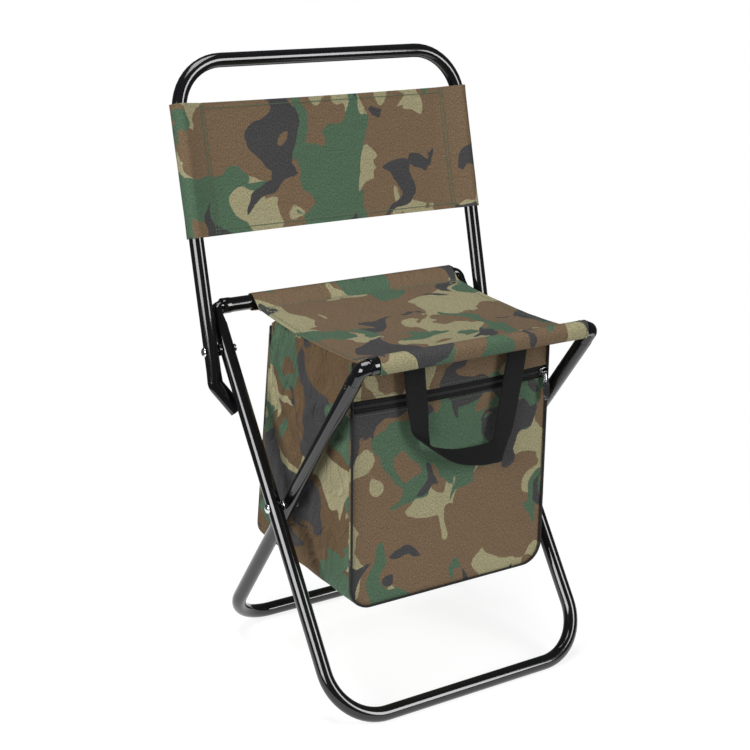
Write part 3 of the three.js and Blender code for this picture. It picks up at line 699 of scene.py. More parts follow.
# %% Rails with flared ends
def rail(half, place, name, body, node):
    """A straight tube between two elbows, with a flared collar at each end."""
    end, collar = half - 8, 8.6
    tube = drawn([(collar, -end), (collar, -end + 9), (tube_radius, -end + 12), (tube_radius, end - 12),
                  (collar, end - 9), (collar, end)], 32, False)
    thicken(tube, tube_wall * mm, -1)
    edges = tube.modifiers.new("rounded", "BEVEL")
    edges.width, edges.segments, edges.limit_method = 0.25 * mm, 2, "ANGLE"
    edges.angle_limit = math.radians(50)
    apply_modifiers(tube)
    smooth(tube)
    tube.location = at(0, *place)
    apply_place(tube)
    return hand_over(tube, name, "black_paint", black_paint, body, node)


rail(outer_x, outer_rail, "rear_rail", "frame", "rear_rail_tube")
rail(inner_x, inner_rail, "front_rail", "inner_frame", "front_rail_tube")

# %% Pressed elbows
def elbow():
    """Drawn with the leg below and the rail towards +X, both in the XZ plane."""
    plug, neck = 6.6, 7.75
    corners = [Vector(point) * mm for point in (
        (0, 0, -34), (0, 0, -20.1), (0, 0, -19.9), (0, 0, -13), (0, 0, 0), (9.5, 0, 0), (22, 0, 0))]
    squeezes = {2: (neck / plug, neck / plug, 1), 3: (6.5 / neck, 7.9 / neck, 1),
                5: (1, 7.3 / 7.9, 7.3 / 6.5)}
    piece = bent_tube(corners, [0, 0, 0, 7.5 * mm, 0], plug * mm, squeezes, sides=32, steps=14)
    open_piece(piece, "DESELECT")
    mesh = bmesh.from_edit_mesh(piece.data)
    for vertex in mesh.verts:
        x, y, z = vertex.co / mm
        if z > -15 and x < 9:
            turn = math.atan2(z + 7.5, 7.5 - x)
            outward = Vector((-math.cos(turn), 0, math.sin(turn)))
            across = 1 - min(abs(y) / 6.5, 1) ** 2
            inside = outward.dot(Vector((x - 7.5, 0, z + 7.5))) < 7.5
            dent = -1.9 * bump(turn, 0.8, 0.42) if inside else 0.22 * math.cos(turn * 7.5) - 0.25
            vertex.co += outward * (-dent if inside else dent) * across * mm
    for edge in mesh.edges:
        edge.select = edge.is_boundary
    bmesh.update_edit_mesh(piece.data)
    bpy.ops.mesh.select_mode(type="EDGE")
    bpy.ops.mesh.edge_face_add()
    bpy.ops.mesh.select_mode(type="VERT")
    close_piece()
    face_outwards(piece)
    smooth(piece)
    return piece


tube_corners = (("rear", outer_x, outer_lean, outer_rail, "frame"),
                ("front", inner_x, inner_lean, inner_rail, "inner_frame"))
elbow_form = elbow()
for corner_name, half, lean, place, body in tube_corners:
    for side_name in ("left", "right"):
        piece = another(elbow_form)
        piece.location = at(-half, *place)
        piece.rotation_euler.x = -lean
        apply_place(piece)
        if side_name == "right":
            left_piece = piece
            piece = mirrored(left_piece)
            bpy.data.objects.remove(left_piece)
        hand_over(piece, f"{corner_name}_elbow_pressed_{side_name}", "black_paint", black_paint, body,
                  f"{corner_name}_elbow_{side_name}")
bpy.data.objects.remove(elbow_form)

# %% [markdown]
# ## Rivets, washers, spacers and pins
# A rivet is a shank with a domed head, hammered flat at the other end. It could be a cylinder and
# half a ball put together, but one ring drawn along its axis and scaled at each step gives a closed
# piece with no seam. Washers and spacers are rings drawn out, over and back to where they began.

# %% Turned fasteners along X
def turned(profile, sides=28, filled=True):
    piece = drawn(profile, sides, filled)
    smooth(piece, 32)
    return piece


def dome(radius, height, base, steps=6):
    """Steps of a rounded head, from its rim to a small flat on top."""
    quarters = [math.pi / 2 * step / steps for step in range(steps)]
    return [(radius * math.cos(turn), base + height * math.sin(turn)) for turn in quarters] + [
        (radius * 0.05, base + height)]


def rivet(grip):
    """A rivet for tubes that are so wide together: flat head, shank and dome."""
    half = grip / 2 + 0.3
    return turned([(3.9, -half - 1.6), (4.2, -half - 1.35), (4.2, -half - 0.2), (3.9, -half),
                   (2.4, -half), (2.4, half), (4.7, half), *dome(5, 2.4, half + 0.1)])


def ring(inner, outer, length):
    """A washer or spacer: a ring with a hole and slightly broken edges."""
    half, soft = length / 2, min(0.25, length / 4)
    return turned([(inner, -half), (outer - soft, -half), (outer, -half + soft), (outer, half - soft),
                   (outer - soft, half), (inner, half), (inner, -half)], 32, False)


def both_sides(form, x, place, name, slot, finish, body, node):
    """Puts one copy on each side, the left one turned round."""
    for side_name, side in (("left", -1), ("right", 1)):
        piece = another(form)
        if side < 0:
            piece.rotation_euler.z = math.pi
        piece.location = at(side * x, *place)
        apply_place(piece)
        hand_over(piece, f"{name}_{side_name}", slot, finish, body, f"{node}_{side_name}")
    bpy.data.objects.remove(form)


scissor_x, hinge_x = (outer_x + inner_x) / 2, (back_x + outer_x) / 2
both_sides(rivet(outer_x - inner_x + 2 * tube_radius), scissor_x, scissor_place, "domed_scissor_rivet",
           "bright_steel", bright_steel, "frame", "scissor_rivet")
both_sides(ring(2.7, 6, 1.0), scissor_x, scissor_place, "scissor_washer_ring", "bright_steel",
           bright_steel, "frame", "scissor_washer")
both_sides(rivet(back_x - outer_x + 2 * tube_radius), hinge_x, back_place, "domed_backrest_rivet",
           "bright_steel", bright_steel, "frame", "backrest_rivet")
both_sides(ring(2.7, 6.5, 2.6), hinge_x, back_place, "backrest_spacer_ring", "black_paint",
           black_paint, "frame", "backrest_spacer")

# %% Elbow pins
pin_drop = 26
for corner_name, half, lean, place, body in tube_corners:
    form = turned([(1.1, -4.1), (1.1, 0.3), (2.1, 0.3), *dome(2.2, 1.0, 0.45, 4)], 18)
    pin_place = place[0] - pin_drop * math.sin(lean), place[1] - pin_drop * math.cos(lean)
    both_sides(form, half + tube_radius, pin_place, f"{corner_name}_elbow_pin_head", "black_paint",
               black_paint, body, f"{corner_name}_elbow_pin")

# %% [markdown]
# ## The backrest tube
# One tube makes the whole backrest. Its lower ends are pressed oval and run slantwise inwards to the
# legs, where they stop the backrest. It could be joined from straight and bent parts, but then it
# would have seams that the real one lacks. So the ring starts oval at one end, is let back to round
# above the slant, and goes up, over and down to the other end in one draw.

# %% Backrest tube
back_length, back_bend, crank_bend = 305.5, 55.0, 10.0
separation = 54 * math.sin(outer_lean - back_lean)
crank_forward = separation - tube_radius - 6 - 0.5
half_run = [Vector((-outer_x + 0.5, -crank_forward, -67)), Vector((-back_x, 0, -36)),
            Vector((-back_x, 0, -22)), Vector((-back_x, 0, back_length))]
run = [point * mm for point in half_run]
run += [Vector((-point.x, point.y, point.z)) for point in reversed(run)]
press = (9 / 8, 6 / 8, 1)
release = (8 / 9, 8 / 6, 1)
backrest = bent_tube(
    run, [crank_bend * mm, 0] + [back_bend * mm] * 2 + [0, crank_bend * mm],
    tube_radius * mm, {"start": press, 2: release, 5: press}, steps=12, wall=tube_wall * mm)
stand_up(backrest, back_lean, at(0, *back_place))
hand_over(backrest, "backrest_bent_tube", "black_paint", black_paint, "backrest", "backrest_tube")

# %% [markdown]
# ## Sheets of cloth
# Cloth is made from a grid of corners whose place is worked out from the tubes that carry it, with
# a flat map in metres beside it. Solidify gives it a thickness. A simulation could drop the cloth on
# the tubes, but folds made from soft waves come out the same each time and lie where they should.
# A seam is a row of short threads, each pressed onto the cloth at the place straight under it.

# %% A grid of cloth
def cloth(columns, rows, place, flat, thickness, offset=0.0, closed=False):
    """place(a, b) gives millimetres from the front foot bar; flat(a, b) the cut cloth in millimetres."""
    mesh = bmesh.new()
    layer = mesh.loops.layers.uv.new("cloth")
    grid = [[mesh.verts.new(at(*place(a / columns, b / rows))) for a in range(columns + (not closed))]
            for b in range(rows + 1)]
    for b in range(rows):
        for a in range(columns):
            spots = ((a, b), (a + 1, b), (a + 1, b + 1), (a, b + 1))
            face = mesh.faces.new([grid[j][i % len(grid[j])] for i, j in spots])
            face.smooth = True
            for loop, (i, j) in zip(face.loops, spots):
                loop[layer].uv = Vector(flat(i / columns, j / rows)) * mm
    data = bpy.data.meshes.new("cloth")
    mesh.to_mesh(data)
    mesh.free()
    piece = bpy.data.objects.new("cloth", data)
    bpy.context.scene.collection.objects.link(piece)
    if thickness:
        thicken(piece, thickness * mm, offset)
    return piece


def cut(flat, middle, spot, quarters=0):
    """Lays a flat shape at another spot of the roll of cloth, turned by quarter turns."""
    turn = Matrix.Rotation(quarters * math.pi / 2, 2)
    return lambda a, b: turn @ (Vector(flat(a, b)) - Vector(middle)) + Vector(spot)


def pressed(tree, spot, out):
    """The place on the cloth that is straight under a spot, or else the nearest one."""
    if out is None:
        near, normal, *_ = tree.find_nearest(spot)
        return near + normal * 0.0001
    hit = tree.ray_cast(spot + out * 0.02, -out, 0.04)
    return hit[0] + out * 0.0001 if hit[0] else spot


def stitches(name, rows, finish, slot, body, on, toward=(0, 0, 1), length=2.6, pitch=3.9, width=0.62):
    """Rows of thread along lists of points in millimetres, pressed onto a cloth seen from one side."""
    out = Vector(toward).normalized() if toward else None
    tree = BVHTree.FromPolygons([v.co for v in on.data.vertices], [f.vertices for f in on.data.polygons])
    rows = [[pressed(tree, at(*point), out) for point in row] for row in rows]
    nothing_selected()
    bpy.ops.mesh.primitive_cylinder_add(vertices=6, radius=width / 2 * mm, depth=length * mm,
                                        rotation=(0, math.pi / 2, 0))
    form = bpy.context.object
    apply_place(form)
    open_piece(form, "DESELECT")
    bm = bmesh.from_edit_mesh(form.data)
    bm.faces.ensure_lookup_table()
    for face in bm.faces:
        face.select = abs(face.normal.x) > 0.9
    bmesh.update_edit_mesh(form.data)
    bpy.ops.mesh.inset(thickness=width * 0.2 * mm)
    close_piece()
    parts = []
    for row in rows:
        places = [Vector(point) for point in row]
        total = sum((b - a).length for a, b in zip(places, places[1:]))
        count = max(int(total / (pitch * mm)), 1)
        index, done = 0, 0.0
        for number in range(count):
            walk = (number + 0.5) * total / count
            while index < len(places) - 2 and done + (places[index + 1] - places[index]).length < walk:
                done += (places[index + 1] - places[index]).length
                index += 1
            way = places[index + 1] - places[index]
            spot = places[index] + way.normalized() * (walk - done)
            parts.append((spot, way.normalized()))
    mesh = bmesh.new()
    for spot, way in parts:
        turn = way.to_track_quat("X", "Z").to_matrix().to_4x4()
        stitch = form.data.copy()
        stitch.transform(Matrix.Translation(spot) @ turn)
        mesh.from_mesh(stitch)
        bpy.data.meshes.remove(stitch)
    data = bpy.data.meshes.new(name)
    mesh.to_mesh(data)
    mesh.free()
    bpy.data.objects.remove(form)
    piece = bpy.data.objects.new(name, data)
    bpy.context.scene.collection.objects.link(piece)
    smooth(piece, 50)
    return hand_over(piece, name, slot, finish, body)


print(stitches.__doc__)

# %% [markdown]
# ## The seat
# The seat is one cloth: it comes back from its hem under the front rail, goes round the rail, over
# the gap with a small sag, and round the rear rail to the other hem. Its side view is worked out as
# a line of points, and its width changes a little along it, because it is narrower on the rails. Its
# side edges are folded double and sewn, so the grid has more columns there. A flat sheet could be
# bent over the rails instead, but a worked-out line keeps the cloth at its distance from the tubes.

# %% Side view of the seat
wrap_radius = 9.3
front_seam, rear_seam = (14.0, 385.2), (240.0, 387.4)
seat_sag = 5.2


def wrap(centre, seam, behind):
    """Points from the seam over the top of a rail, round it and back under to the hem."""
    away = math.atan2(seam[1] - centre[1], seam[0] - centre[0])
    reach = math.dist(centre, seam)
    half = math.acos(wrap_radius / reach)
    start, stop = away + half, away - half + 2 * math.pi
    if not behind:
        start, stop = away - half, away + half - 2 * math.pi
    arc = [start + (stop - start) * step / 22 for step in range(23)]
    return [(centre[0] + wrap_radius * math.cos(angle), centre[1] + wrap_radius * math.sin(angle))
            for angle in arc]


def panel_line(share):
    """The sagging line between the two seams, in side view."""
    y = front_seam[0] + (rear_seam[0] - front_seam[0]) * share
    z = front_seam[1] + (rear_seam[1] - front_seam[1]) * share - seat_sag * (1 - (2 * share - 1) ** 2)
    return y, z


def seat_side_view():
    front = wrap(inner_rail, front_seam, True)
    rear = wrap(outer_rail, rear_seam, False)
    hem_front = [(18.5, 384.0), (14.0, 384.1)]
    hem_rear = [(240.0, 386.3), (235.5, 386.0)]
    panel = [panel_line(step / 40) for step in range(41)]
    return hem_front + front[::-1] + panel + rear + hem_rear


seat_line = seat_side_view()
seat_steps = [math.dist(a, b) for a, b in zip(seat_line, seat_line[1:])]

# %% Seat cloth
def seat_edges(y):
    """The seat's left and right edges, from the front rail to the rear rail."""
    share = (y - inner_rail[0]) / (outer_rail[0] - inner_rail[0])
    left, right = -132.5 + 16 * share, 127.0 + 23.5 * share
    left += 8.0 * bump(y, inner_rail[0] - 2, 15)
    right += 5.7 * bump(y, inner_rail[0], 13)
    return left, right


def crowded(a):
    """Moves the columns of the cloth towards its side edges, where the hems need them."""
    return a - 0.11 * math.sin(2 * math.pi * a)


def side_hem(x, left, right):
    """Height of the folded hem along a side edge: double cloth, drawn down where it is sewn."""
    inset = min(x - left, right - x)
    return (0.9 * max(0.0, min(1.0, (7.5 - inset) / 1.5)) - 0.5 * bump(inset, 6.0, 1.0)
            + 0.4 * bump(inset, 0.8, 1.2))


def on_panel(y):
    """1 between the rails and 0 on them."""
    return max(0.0, min(1.0, (y - 20) / 30)) * max(0.0, min(1.0, (232 - y) / 30))


def seat_slack(x, y, a):
    """Soft waves of the seat, and its edges that hang a little."""
    waves = 0.9 * wave(x, y, 1, 60) + 0.35 * wave(x, y, 2, 22)
    return on_panel(y) * (waves - 1.2 * (bump(a, 0.0, 0.035) + bump(a, 1.0, 0.035)))


def seat_row(b):
    """The step of the side view that a share of the cloth's length falls in, and how far along it."""
    travel = b * (len(seat_line) - 1)
    index = min(int(travel), len(seat_line) - 2)
    return index, travel - index


def seat_spot(a, b):
    """Where a share of the width and a share of the length of the seat cloth lies."""
    a = crowded(a)
    index, part = seat_row(b)
    y, z = (p + (q - p) * part for p, q in zip(seat_line[index], seat_line[index + 1]))
    left, right = seat_edges(y)
    x = left + (right - left) * a
    return x, y, z + seat_slack(x, y, a) + on_panel(y) * side_hem(x, left, right)


def seat_flat(a, b):
    """The same place on the roll of cloth."""
    index, part = seat_row(b)
    return crowded(a) * 262 + 300, sum(seat_steps[:index]) + seat_steps[index] * part + 700


seat = cloth(72, len(seat_line) - 1, seat_spot, cut(seat_flat, (431, 905), (4837, 5315), 1), 0.9)
face_outwards(seat)
across_joint = ("frame", "inner_frame", at(0, 250, 388), at(0, 16, 386))
hand_over(seat, "seat_cloth", "camo_cloth", camo_seat, across_joint,
          "front_seat_sleeve", "seat_panel", "rear_seat_sleeve")

# %% Seat seams
def seat_top(x, y, lift=0.75):
    """A place just above the seat, for threads and for what hangs from it."""
    share = max(0.0, min(1.0, (y - front_seam[0]) / (rear_seam[0] - front_seam[0])))
    left, right = seat_edges(y)
    return x, y, panel_line(share)[1] + seat_slack(x, y, (x - left) / (right - left)) + lift


def line(from_x, to_x, y, count=40):
    return [seat_top(from_x + (to_x - from_x) * step / count, y) for step in range(count + 1)]


def edge_row(side, inset):
    """A row of points beside the left (-1) or right (1) edge."""
    points = []
    for step in range(41):
        y = 20 + 215 * step / 40
        left, right = seat_edges(y)
        points.append(seat_top(left + inset if side < 0 else right - inset, y))
    return points


def corner_loop(x, y):
    """A small oval of thread that locks a corner."""
    return [seat_top(x + 7 * math.cos(turn), y + 5 * math.sin(turn))
            for turn in [2 * math.pi * step / 18 for step in range(19)]]


seat_rows = [line(-124, 126, 14.5), line(-116, 146, 239.5), line(-116, 146, 236.5),
             edge_row(-1, 6), edge_row(1, 6)]
loops = [corner_loop(x, y) for x, y in ((-119, 24), (117, 24), (-106, 229), (137, 229))]
stitches("seat_stitches", seat_rows, green_thread, "camo_cloth", across_joint, seat)
stitches("seat_corner_stitches", loops, khaki_thread, "camo_cloth", across_joint, seat)

# %% [markdown]
# ## The backrest cloth
# A band is pulled over both uprights like a pillowcase and sewn down beside each of them, so it has
# a round pocket at each end and lies flat and double between. Two flat sheets and two sleeves could
# be joined, but a closed section, drawn from those facts and carried up the backrest, is one cloth
# as the real one is. Its hems are folded, so the edges are a little thicker.

# %% Section across the uprights
band_low, band_height = 120.6, 141.3
pocket, web_half = 9.6, 1.1
seam_x = back_x - 23.2


def band_section():
    touch = math.acos((pocket - web_half) / (back_x - seam_x))
    outline = []
    for side in (-1, 1):
        outline += [(side * (-seam_x + 2 * seam_x * step / 40), side * web_half) for step in range(40)]
        for step in range(25):
            turn = math.pi - touch - (2 * math.pi - 2 * touch) * step / 24
            outline.append((side * (back_x + pocket * math.cos(turn)), side * pocket * math.sin(turn)))
    return outline


band_outline = band_section()
band_steps = [math.dist(a, b) for a, b in zip(band_outline, band_outline[1:] + band_outline[:1])]
print("band", len(band_outline), "points round,", round(sum(band_steps)), "mm")


def on_backrest(x, behind, rise):
    """A place given along the backrest: behind is away from the sitter."""
    y = back_place[0] + rise * math.sin(back_lean) + behind * math.cos(back_lean)
    z = back_place[1] + rise * math.cos(back_lean) - behind * math.sin(back_lean)
    return x, y, z


def band_slack(x, rise):
    """Soft waves of the band, which end at its seams."""
    waves = 0.8 * wave(x, rise, 5, 55) + 0.3 * wave(x, rise, 6, 18)
    return max(0.0, 1 - (abs(x) / (seam_x + 4)) ** 6) * waves


def band_spot(a, b):
    index = round(a * len(band_outline)) % len(band_outline)
    x, front = band_outline[index]
    rise = band_low + band_height * b
    sag = 2.6 * (1 - (x / seam_x) ** 2) if abs(x) < seam_x else 0.0
    behind = -front + sag * (0.6 + 0.4 * math.sin(math.pi * b))
    # hems stand off, the middle waves, the seams pucker, and the pockets are a little uneven
    hem = 0.45 * (bump(b, 0.0, 0.05) + bump(b, 1.0, 0.05))
    behind -= math.copysign(hem, front) if abs(front) > 0.2 else 0
    behind += band_slack(x, rise)
    behind += 0.7 * bump(abs(x), seam_x - 3, 7) * wave(x, rise, 7, 14)
    if abs(x) > seam_x + 8:
        x *= 1 + 0.0025 * wave(front, rise, 8, 30)
    rise += 1.2 * math.sin(math.pi * (x / back_x + 1) / 2) * (1 - 2 * b) * 0.8
    return on_backrest(x, behind, rise)


def band_flat(a, b):
    index = min(round(a * len(band_outline)), len(band_outline))
    return sum(band_steps[:index]) + 90, band_height * b + 1240


band = cloth(len(band_outline), 34, band_spot, cut(band_flat, (649, 1311), (4245, 5245), 2), 0,
             closed=True)
face_outwards(band)
thicken(band, 0.8 * mm, -1)
smooth(band, 60)
hand_over(band, "backrest_band", "camo_cloth", camo_upright, "backrest", "backrest_cloth")

# %% Backrest seams
def band_row(x_from, x_to, b_from, b_to, front, lift=0.5, count=36):
    """A row of points just off the band's front (1) or rear (-1)."""
    points = []
    for step in range(count + 1):
        share = step / count
        x = x_from + (x_to - x_from) * share
        b = b_from + (b_to - b_from) * share
        sag = 2.6 * (1 - (x / seam_x) ** 2) * (0.6 + 0.4 * math.sin(math.pi * b))
        rise = band_low + band_height * b
        points.append(on_backrest(x, sag - front * (web_half + lift) + band_slack(x, rise), rise))
    return points


back_face = Vector((0, -math.cos(back_lean), math.sin(back_lean)))
for face_name, front in (("front", 1), ("rear", -1)):
    band_rows = [band_row(x, x, 0.01, 0.99, front)
                 for x in (1.0 - seam_x, 4.5 - seam_x, seam_x - 1.0, seam_x - 4.5)]
    band_rows += [band_row(-seam_x, seam_x, b, b, front) for b in (0.045, 0.955)]
    stitches(f"backrest_stitches_{face_name}", band_rows, green_thread, "camo_cloth", "backrest", band,
             front * back_face, length=3.3, width=1.0)

# %% [markdown]
# ## The cooler bag
# The bag is a tray shape on its side: one strip makes both sides and the bottom, and a front and a
# back close it. It hangs from the seat's edges and leans out at the back. It could be a box with
# rounded edges, but an empty bag is never flat. So the strip is carried round the tray's outline, and
# its slack, the puckers at its bottom and the long creases of its sides are pushed into it.

# %% Outline of the bag
bag_half, bag_low, bag_top, corner_radius = 125.0, 110.0, 378.28, 25.0
front_y, back_top_y, back_flare, back_lift = 42.0, 202.0, 36.0, 8.0
zip_z = 332.0


def tray(inset, per_side=66, per_corner=10, per_bottom=40):
    """The outline from the left top down, round the bottom and up to the right top, in x and z."""
    half, low, radius = bag_half - inset, bag_low + inset, corner_radius - inset
    points = [(-half, bag_top + (low + radius - bag_top) * step / per_side) for step in range(per_side)]
    for step in range(per_corner):
        turn = math.pi + math.pi / 2 * step / per_corner
        points.append((-half + radius + radius * math.cos(turn), low + radius + radius * math.sin(turn)))
    points += [(-half + radius + 2 * (half - radius) * step / per_bottom, low)
               for step in range(per_bottom // 2)]
    mirror = [(-x, z) for x, z in reversed(points)]
    return points + [(0.0, low)] + mirror


def leaned(y_share, z, front=front_y + 1.5, back=back_top_y - 1.5):
    """Where a share of the way from front to back is, at a height: the back leans out and lifts."""
    drop = max(0.0, (bag_top - z) / (bag_top - bag_low))
    return front + (back - front + back_flare * drop) * y_share, back_lift * drop * y_share


def seat_under(y):
    return seat_top(0, y, 0)[2] - 0.6


def drawn_in(x, y, height, inset=0.0):
    """Near its top the bag narrows to the seat's edges, where it is sewn on."""
    left, right = seat_edges(y)
    room = (right - 1.5 if x > 0 else -left - 1.5) - inset
    hung = max(0.0, (height - 0.9) / 0.1) ** 2
    return x * (1 + (min(room / (bag_half - inset), 1.0) - 1) * hung)


def zip_sag(x):
    """How far the zip hangs below its straight line, because the strip above it is slack."""
    share = max(0.0, min(1.0, (x + bag_half) / (2 * bag_half)))
    return 1.2 * (1 - share) + 2.9 * math.sin(math.pi * share)


print("outline of", len(tray(0)), "points")

# %% Creases of the bag's sides
# each from a place to another, in y and z, with its width and its depth
side_creases = [
    (107, 378, 100, 358, 4.5, -3.0), (180, 341, 150, 317, 6, 3.2), (172, 326, 146, 288, 5, -3.6),
    (143, 318, 142, 288, 5, 3.0), (84, 337, 134, 288, 6, 3.6), (92, 345, 138, 299, 5, -2.6),
    (190, 293, 158, 266, 7, -3.8), (158, 266, 142, 244, 6, -3.0), (186, 277, 150, 249, 6, 2.6),
    (80, 290, 45, 298, 4.5, -3.4), (76, 279, 44, 286, 4.5, 2.2), (207, 273, 172, 192, 9, -4.4),
    (129, 216, 117, 158, 10, -4.6), (121, 177, 90, 145, 6, 3.2), (75, 230, 60, 140, 9, -2.4),
    (96, 368, 66, 330, 5, -2.4), (150, 240, 190, 150, 8, 2.8), (110, 330, 96, 250, 7, 2.6)]


def creased(y, z, flip):
    """How far the cloth stands out at a place on the side, from creases that run from point to point."""
    total = 0.0
    for y0, z0, y1, z1, width, depth in side_creases:
        if flip:
            y0, y1, z0, z1 = y0 * 0.9 + 22, y1 * 1.05 - 6, z0 - 14, z1 + 9
        way = Vector((y1 - y0, z1 - z0))
        share = max(0.0, min(1.0, Vector((y - y0, z - z0)).dot(way) / way.length_squared))
        away = (Vector((y0, z0)) + way * share - Vector((y, z))).length
        total += depth * bump(away, 0, width) * (0.55 + 0.45 * math.sin(math.pi * min(share + 0.2, 1)))
    return total


print(len(side_creases), "creases")

# %% Sides and bottom of the bag
def gusset_place(inset, swell):
    """What cloth() needs for the strip, drawn in by inset, with its slack and creases times swell."""
    outline = tray(inset)

    def place(a, b):
        index = round(a * (len(outline) - 1))
        x, z = outline[index]
        y, lift = leaned(b, z)
        height = (z - bag_low) / (bag_top - bag_low)
        side = -1 if x < 0 else 1
        on_side = max(0.0, min(1.0, (height - 0.06) / 0.2))
        if height > 0.9:
            x = drawn_in(x, y, height, inset)
            z += (seat_under(y) - 0.6 - z) * max(0.0, (height - 0.97) / 0.03)
        # the slack, then soft waves, then creases; the bottom sags in waves of its own
        slack = math.sin(math.pi * b) * math.sin(math.pi * min(max(height, 0), 1) ** 0.8)
        push = swell * (3.4 * slack * on_side)
        push += swell * on_side * math.sin(math.pi * b) ** 0.5 * (
            1.9 * wave(y * 1.6, z * 0.55, 11 + side, 46) + 0.8 * wave(y * 2.0, z, 13 + side, 20))
        ends = min(1.0, b / 0.08, (1 - b) / 0.08)
        push += swell * on_side * ends * creased(y, z, side > 0)
        x += side * push
        z += lift
        if height < 0.06:
            z += swell * math.sin(math.pi * b) * (1.5 * wave(x, y, 21, 60) + 0.7 * wave(x, y, 22, 24) - 1.0)
        return x, y, z

    steps = [math.dist(p, q) for p, q in zip(outline, outline[1:])]

    def flat(a, b):
        index = round(a * (len(outline) - 1))
        return b * 178 + 520, sum(steps[:index]) + 40

    return place, flat, len(outline) - 1, sum(steps)


hung_bag = ("frame", "bag_face", at(0, 201.3, 250), at(0, 43.3, 250))
gusset_spot, gusset_flat, gusset_columns, gusset_length = gusset_place(0.6, 1.0)
gusset = cloth(gusset_columns, 58, gusset_spot, cut(gusset_flat, (609, 172), (975, 1385), 1), 1.0)
face_outwards(gusset)
hand_over(gusset, "bag_sides_and_bottom", "camo_cloth", camo_side, hung_bag, "bag_gusset")
gusset_length * mm
0.96 * gusset_length * mm * 0.188

lining_spot, lining_flat, lining_columns, _ = gusset_place(7.0, 0.35)
lining = cloth(lining_columns, 40, lining_spot, lining_flat, 2.6)
face_outwards(lining)
hand_over(lining, "gusset_foam", "silver_foam", silver_foam, "frame", "bag_gusset_lining")
at(0, 201.3, 250)
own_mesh(lining)

# %% A panel of the bag
def half_at(z, inset=0.0):
    """Half the width of a panel at a height, with the round corners at its bottom."""
    half, low, radius = bag_half - inset, bag_low + inset, corner_radius - inset
    if z >= low + radius:
        return half
    return half - radius + math.sqrt(max(0.0, radius ** 2 - (low + radius - z) ** 2))


def panel_height(b, low, high):
    """Rows that crowd towards the round corners at the bottom."""
    return low + (high - low) * b ** 1.35


def bag_panel(columns, rows, low, high, inset, swell, seed, rear, thickness, y_front, top_to_seat=False,
              hang=None):
    """A front or rear panel between two heights, swollen outwards, its edges left at the seams."""

    def place(a, b):
        z = panel_height(b, low + inset, high)
        half = half_at(z, inset)
        across = 2 * a - 1
        x = across * half
        height = (z - low) / (bag_top - low)
        # the swell, then dents, small wrinkles and a roll beside the seam
        room = (1 - abs(across) ** 2.4) * math.sin(math.pi * min(max(b, 0.0), 1.0)) ** 0.7
        inside_seams = 1 - abs(across) ** 8
        out = swell * room * (1 + 0.35 * wave(x, z, seed, 90))
        out += swell * 0.22 * inside_seams * wave(x * 1.2, z * 0.8, seed + 1, 38)
        out += swell * 0.10 * inside_seams * wave(x, z, seed + 2, 16)
        out += 1.3 * bump(b, 0.0, 0.10) if top_to_seat and not rear else 0.7 * bump(b, 1.0, 0.035)
        if rear:
            y, lift = leaned(1.0, z, back=back_top_y)
            y += -y_front + out
            z += lift
        else:
            y = y_front - out
        if top_to_seat:
            z += (seat_under(y) - 0.5 - z) * max(0.0, (b - 0.85) / 0.15)
        if hang:
            z -= zip_sag(x) * hang(b)
        return drawn_in(x, y, height, inset), y, z

    def flat(a, b):
        z = panel_height(b, low, high)
        return (2 * a - 1) * half_at(z, inset) + 150 + 310 * rear, z + 300 * seed

    piece = cloth(columns, rows, place, cut(flat, (149, 819), (1747, 3420)), thickness)
    face_outwards(piece)
    return piece


print("half the bag's width at its bottom", round(half_at(bag_low)), "mm")

# %% Front, header, back and their foam
zip_low, zip_high = zip_z - 6.4, zip_z + 6.4
bag_front = bag_panel(56, 44, bag_low, zip_low - 0.3, 0.0, 2.6, 2, False, 1.0, front_y + 0.6,
                      hang=lambda b: b ** 4)
hand_over(bag_front, "bag_front_cloth", "camo_cloth", camo_upright, "bag_face", "bag_front")

header = bag_panel(56, 12, zip_high + 0.3, bag_top, 0.0, 1.0, 3, False, 1.0, front_y + 0.6, True,
                   hang=lambda b: 1 - b)
hand_over(header, "bag_header_cloth", "camo_cloth", camo_upright, "bag_face", "bag_header")

bag_back = bag_panel(48, 44, bag_low, bag_top, 0.0, 5.0, 4, True, 1.0, 0.6, True)
hand_over(bag_back, "bag_back_cloth", "camo_cloth", camo_upright, "frame", "bag_back")

front_foam = bag_panel(36, 24, bag_low, bag_top, 11.5, 2.0, 5, False, 2.6, front_y + 3.2)
hand_over(front_foam, "front_foam", "silver_foam", silver_foam, "bag_face", "bag_front_lining")
back_foam = bag_panel(36, 24, bag_low, bag_top, 11.5, 3.0, 6, True, 2.6, 3.4)
hand_over(back_foam, "back_foam", "silver_foam", silver_foam, "frame", "bag_back_lining")

# %% [markdown]
# ## Piping
# A thin cord in a folded strip covers each edge of the bag. A curve with a round bevel could follow
# the edge, but the bender above already draws round corners. So it is a small bent tube, drawn in
# the plane of the front, and the rear one is then leaned with the back.

# %% Piping cords
def piping(y, name, body, node, rear):
    edge = bag_half - 1.5
    low = bag_low + 1.5
    top = bag_top - 0.5
    corners = [Vector(place) * mm for place in (
        (-edge, 0, top), (-edge, 0, low), (edge, 0, low), (edge, 0, top))]
    cord = bent_tube(corners, [(corner_radius - 1.5) * mm] * 2, 1.25 * mm, sides=12, steps=10)
    open_piece(cord)
    bpy.ops.mesh.subdivide(number_cuts=1)
    close_piece()
    for vertex in cord.data.vertices:
        drop = max(0.0, (bag_top - vertex.co.z / mm) / (bag_top - bag_low))
        vertex.co.y += (y + foot_bar_y) * mm + (back_flare * drop * mm if rear else 0)
        vertex.co.z += back_lift * drop * mm if rear else 0
    smooth(cord, 60)
    return hand_over(cord, name, "black_piping", black_piping, body, node)


